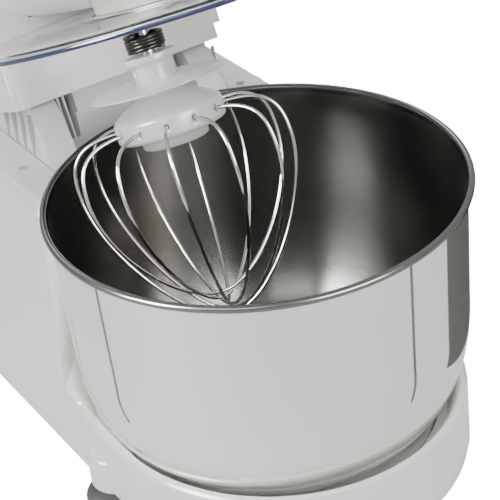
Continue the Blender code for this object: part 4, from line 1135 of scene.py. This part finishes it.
# Hinge neck
print("neck and head")
headSize = {
    "bottom": 0.208, "split": 0.236, "top": 0.302, "half": 0.061, "front": 0.122, "rear": 0.240,
    "skirtBottom": 0.165, "skirtFront": 0.1165, "skirtHalf": 0.0665, "ledge": 0.0045, "ledgeLow": 0.1735,
    "wall": 0.003, "power": 0.62, "groove": 0.0006,
}


# Corners and gaps as distances from the middle plane.
neckSize = {
    "half": 0.041, "eye": 0.026, "front": 0.126, "rear": 0.219, "bore": 0.0063, "catch": 0.0055,
    "corner": (0.0305, 0.0425), "gap": (0.0290, 0.0306), "ribs": (0.0335, 0.0370, 0.0402), "ribHalf": 0.0006,
}


def makeNeck():
    size = neckSize
    y, z = hingeLocal
    top = headSize["bottom"] - 0.0003
    turn = np.radians(np.linspace(225, 340, 24))
    eye = np.stack([y + size["eye"] * np.cos(turn), z + size["eye"] * np.sin(turn)], -1)
    corners = [(size["front"], top), (0.128, 0.142), (0.146, 0.122), eye[0]]
    front = softPath(corners, [0, 0.008, 0.008, 0], 8)
    outline = np.concatenate([front, eye[1:], [(size["rear"], top)]])
    piece = prism("neck_casting", outline, size["half"], headPlace, [whiteAbs])
    lever = np.array(controls["lever"]) - hingeLocal
    cutters = [rodAt("bore", (-0.06, y, z), (0.06, y, z), size["bore"], headPlace)]
    for turn in (0, -tilt):
        c, s = math.cos(turn), math.sin(-turn)
        y2 = y + lever[0] * c - lever[1] * s
        z2 = z + lever[0] * s + lever[1] * c
        cutters.append(rodAt("catch", (0.034, y2, z2), (0.054, y2, z2), size["catch"], headPlace))
    ribs = []
    for side in (-1, 1):
        # The front corners are set back and ribbed, and a dark gap runs beside the front face.
        cutters.append(sideBlock("corner", side, *size["corner"], (0.11, 0.138), (0.139, 0.2045), headPlace))
        cutters.append(sideBlock("gap", side, *size["gap"], (0.11, 0.152), (0.150, 0.172), headPlace))
        for x in size["ribs"]:
            near, far = x - size["ribHalf"], x + size["ribHalf"]
            ribs.append(sideBlock("rib", side, near, far, (0.1315, 0.137), (0.1405, 0.206), headPlace))
    carve(piece, *cutters)
    carve(piece, *ribs, operation="UNION")
    soften(piece, 0.0012, 3, 50)
    placed(piece, "head", "white_abs", "hinge_neck")


# Each row: place along the head, half-width, bottom and top, as shares of its own sizes.
headStations = np.array([
    (-1.00, 0.34, 0.30, 0.58), (-0.97, 0.56, 0.13, 0.74), (-0.88, 0.76, 0.02, 0.88), (-0.58, 0.90, 0.00, 0.97),
    (0.00, 0.97, 0.00, 1.00), (0.33, 1.00, 0.00, 0.99), (0.62, 1.00, 0.00, 0.93), (0.86, 0.95, 0.00, 0.77),
    (0.96, 0.82, 0.05, 0.60), (1.00, 0.60, 0.14, 0.46),
])


def headCurve(count):
    # The stations joined by cubics whose slope at each station is (next - previous) / 2.
    rows = headStations
    slopes = np.gradient(rows, axis=0)
    t = np.linspace(0, len(rows) - 1, count)
    index = np.minimum(t.astype(int), len(rows) - 2)
    t = (t - index)[:, None]
    a, b, da, db = rows[index], rows[index + 1], slopes[index], slopes[index + 1]
    value = (2 * t ** 3 - 3 * t ** 2 + 1) * a + (t ** 3 - 2 * t ** 2 + t) * da
    value += (-2 * t ** 3 + 3 * t ** 2) * b + (t ** 3 - t ** 2) * db
    value[:, 2] = value[:, 2].clip(0)
    value[:, 3] = value[:, 3].clip(0, 1)
    value[:, 1] = value[:, 1].clip(0, 1)
    return value


def headSkin(name, upper):
    # Superellipse sections w |cos a|^p, h |sin a|^p, cut where their height is that of the split.
    size = headSize
    rows = headCurve(120)
    caps = np.sin(np.linspace(np.pi / 2, 0, 7)[1:])
    nose = np.tile(rows[0], (6, 1))
    tail = np.tile(rows[-1], (6, 1))
    rows = np.concatenate([nose, rows, tail])
    shrink = np.concatenate([caps[::-1], np.ones(120), caps])[:, None]
    swell = np.cos(np.arcsin(caps)) * 0.0016
    bulge = np.concatenate([-swell[::-1], np.zeros(120), swell])
    tall = size["top"] - size["bottom"]
    y = np.where(rows[:, 0] < 0, rows[:, 0] * size["front"], rows[:, 0] * size["rear"]) + bulge
    low = size["bottom"] + tall * rows[:, 2]
    high = size["bottom"] + tall * rows[:, 3]
    middle, half = ((low + high) / 2)[:, None], ((high - low) / 2)[:, None] * shrink
    wide = (rows[:, 1] * size["half"])[:, None] * shrink
    level = size["split"] + (0.0003 if upper else 0)
    ratio = ((level - middle) / np.maximum(half, 0.000001 * mm)).clip(-1, 1)
    start = np.arcsin(np.sign(ratio) * np.abs(ratio) ** (1 / size["power"]))
    share = 0.5 - 0.5 * np.cos(np.linspace(0, np.pi, 97))[None, :]
    share = np.sort(np.concatenate([share, [[0.004, 0.996]]], 1))
    if upper:
        angle = start + (np.pi - 2 * start) * share
    else:
        angle = np.pi - start + (np.pi + 2 * start) * share
    x = wide * np.sign(np.cos(angle)) * np.abs(np.cos(angle)) ** size["power"]
    z = middle + half * np.sign(np.sin(angle)) * np.abs(np.sin(angle)) ** size["power"]
    x[:, [0, -1]] *= 1 - size["groove"] / size["half"]
    points = np.stack([x, y[:, None] + 0 * x, z], -1)
    piece = gridMesh(name, headPlace(points), [whiteAbs], False, False, smooth=60)
    thicken(piece, size["wall"])
    return piece


def makeHead():
    size = headSize
    upper = headSkin("head_cover", True)
    settle(upper)
    slits = []
    for number in range(2):
        z = size["split"] + 0.008 + 0.006 * number
        low, high = (-0.022, size["rear"] - 0.02, z), (0.022, size["rear"] + 0.02, z + 0.0028)
        slits.append(blockAt("slit", low, high, headPlace))
    carve(upper, *slits)
    placed(upper, "head", "white_abs", "head_upper_shell")
    lower = headSkin("head_chassis", False)
    settle(lower)
    rear = size["rear"] - 0.004

    def skirtPlan(half):
        front = size["skirtFront"]
        corners = [(0, front), (half, front), (half, rear), (-half, rear), (-half, front), (0, front)]
        return softPath(corners, [0, 0.004, 0.012, 0.012, 0.004, 0], 9)[:-1]

    half = size["skirtHalf"]
    span = (size["skirtBottom"], size["bottom"])
    skirt = prism("head_skirt", skirtPlan(half), span, headPlace, [whiteAbs], axis="z")
    span = (size["ledgeLow"], size["split"] - 0.004)
    ledge = prism("ledge", skirtPlan(half + size["ledge"]), span, headPlace, [whiteAbs], axis="z")
    carve(skirt, ledge, operation="UNION")
    pocket = blockAt(
        "pocket", (-half + size["wall"], size["skirtFront"] + size["wall"], size["skirtBottom"] - 0.02),
        (half - size["wall"], rear - size["wall"], size["bottom"]), headPlace,
    )
    inner = size["half"] - 0.018
    inside = blockAt(
        "inside", (-inner, size["skirtFront"] - 0.004, size["bottom"] + 0.004),
        (inner, rear - 0.03, size["split"] + 0.01), headPlace,
    )
    carve(skirt, pocket, inside)
    soften(skirt, 0.0016, 4, 50)
    placed(skirt, "head", "white_abs")
    carve(lower, rodAt("mouth", (0, 0, 0.18), (0, 0, 0.23), 0.0495, headPlace, 96))
    placed(lower, "head", "white_abs", "head_lower_shell")


makeNeck()
makeHead()

# Clear guard
print("guard")
# The filling mouth: inner and outer radius, first and last bearing in degrees.
guardSize = {
    "collar": 0.0515, "radius": 0.113, "rim": 0.202, "top": 0.2077, "wall": 0.0022,
    "mouth": (0.064, 0.098, -68, -22),
}


def makeGuard():
    size = guardSize
    collar, radius, rim, top, wall = (size[key] for key in ("collar", "radius", "rim", "top", "wall"))
    corners = [
        (collar, top), (collar + 0.006, top), (collar + 0.007, top - 0.001), (radius - 0.012, rim + 0.0045),
        (radius - 0.002, rim + 0.004), (radius, rim + 0.002), (radius, rim), (radius - wall, rim),
        (radius - wall - 0.001, rim + 0.0018), (radius - 0.012, rim + 0.0045 - wall),
        (collar + 0.006, top - 0.001 - wall), (collar, top - 0.001 - wall), (collar, top),
    ]
    radii = [0, 0.0005, 0.0008, 0.004, 0.0012, 0.0012, 0.0005, 0.0005, 0.001, 0.004, 0.0008, 0.0004, 0]
    profile = softPath(corners, radii)[:-1]
    atEdge = (profile[:, 0] > radius - wall - 0.0006) & (profile[:, 1] < rim + 0.0023)
    bands = (atEdge & np.roll(atEdge, -1)).astype(int)
    piece = lathe("bowl_guard", profile, headPlace, [clear, clearEdge], 256, bands, closed=True)
    inner, outer, first, last = size["mouth"]
    turn = np.radians(np.linspace(first, last, 24))[:, None]
    arc = np.concatenate([np.cos(turn), np.sin(turn)], 1)
    ring = np.concatenate([outer * arc, inner * arc[::-1]])
    mouth = prism("mouth", ring, (rim - 0.02, top + 0.02), headPlace, [], axis="z")
    half = headSize["skirtHalf"] + headSize["ledge"] - 0.001
    front = headSize["skirtFront"]
    way = blockAt("way", (-half - 0.002, front - 0.002, 0.1), (half + 0.002, 0.2, 0.3), headPlace)
    carve(piece, mouth, way)
    placed(piece, "head", "clear_plastic", "splash_guard")


makeGuard()

print("finish")
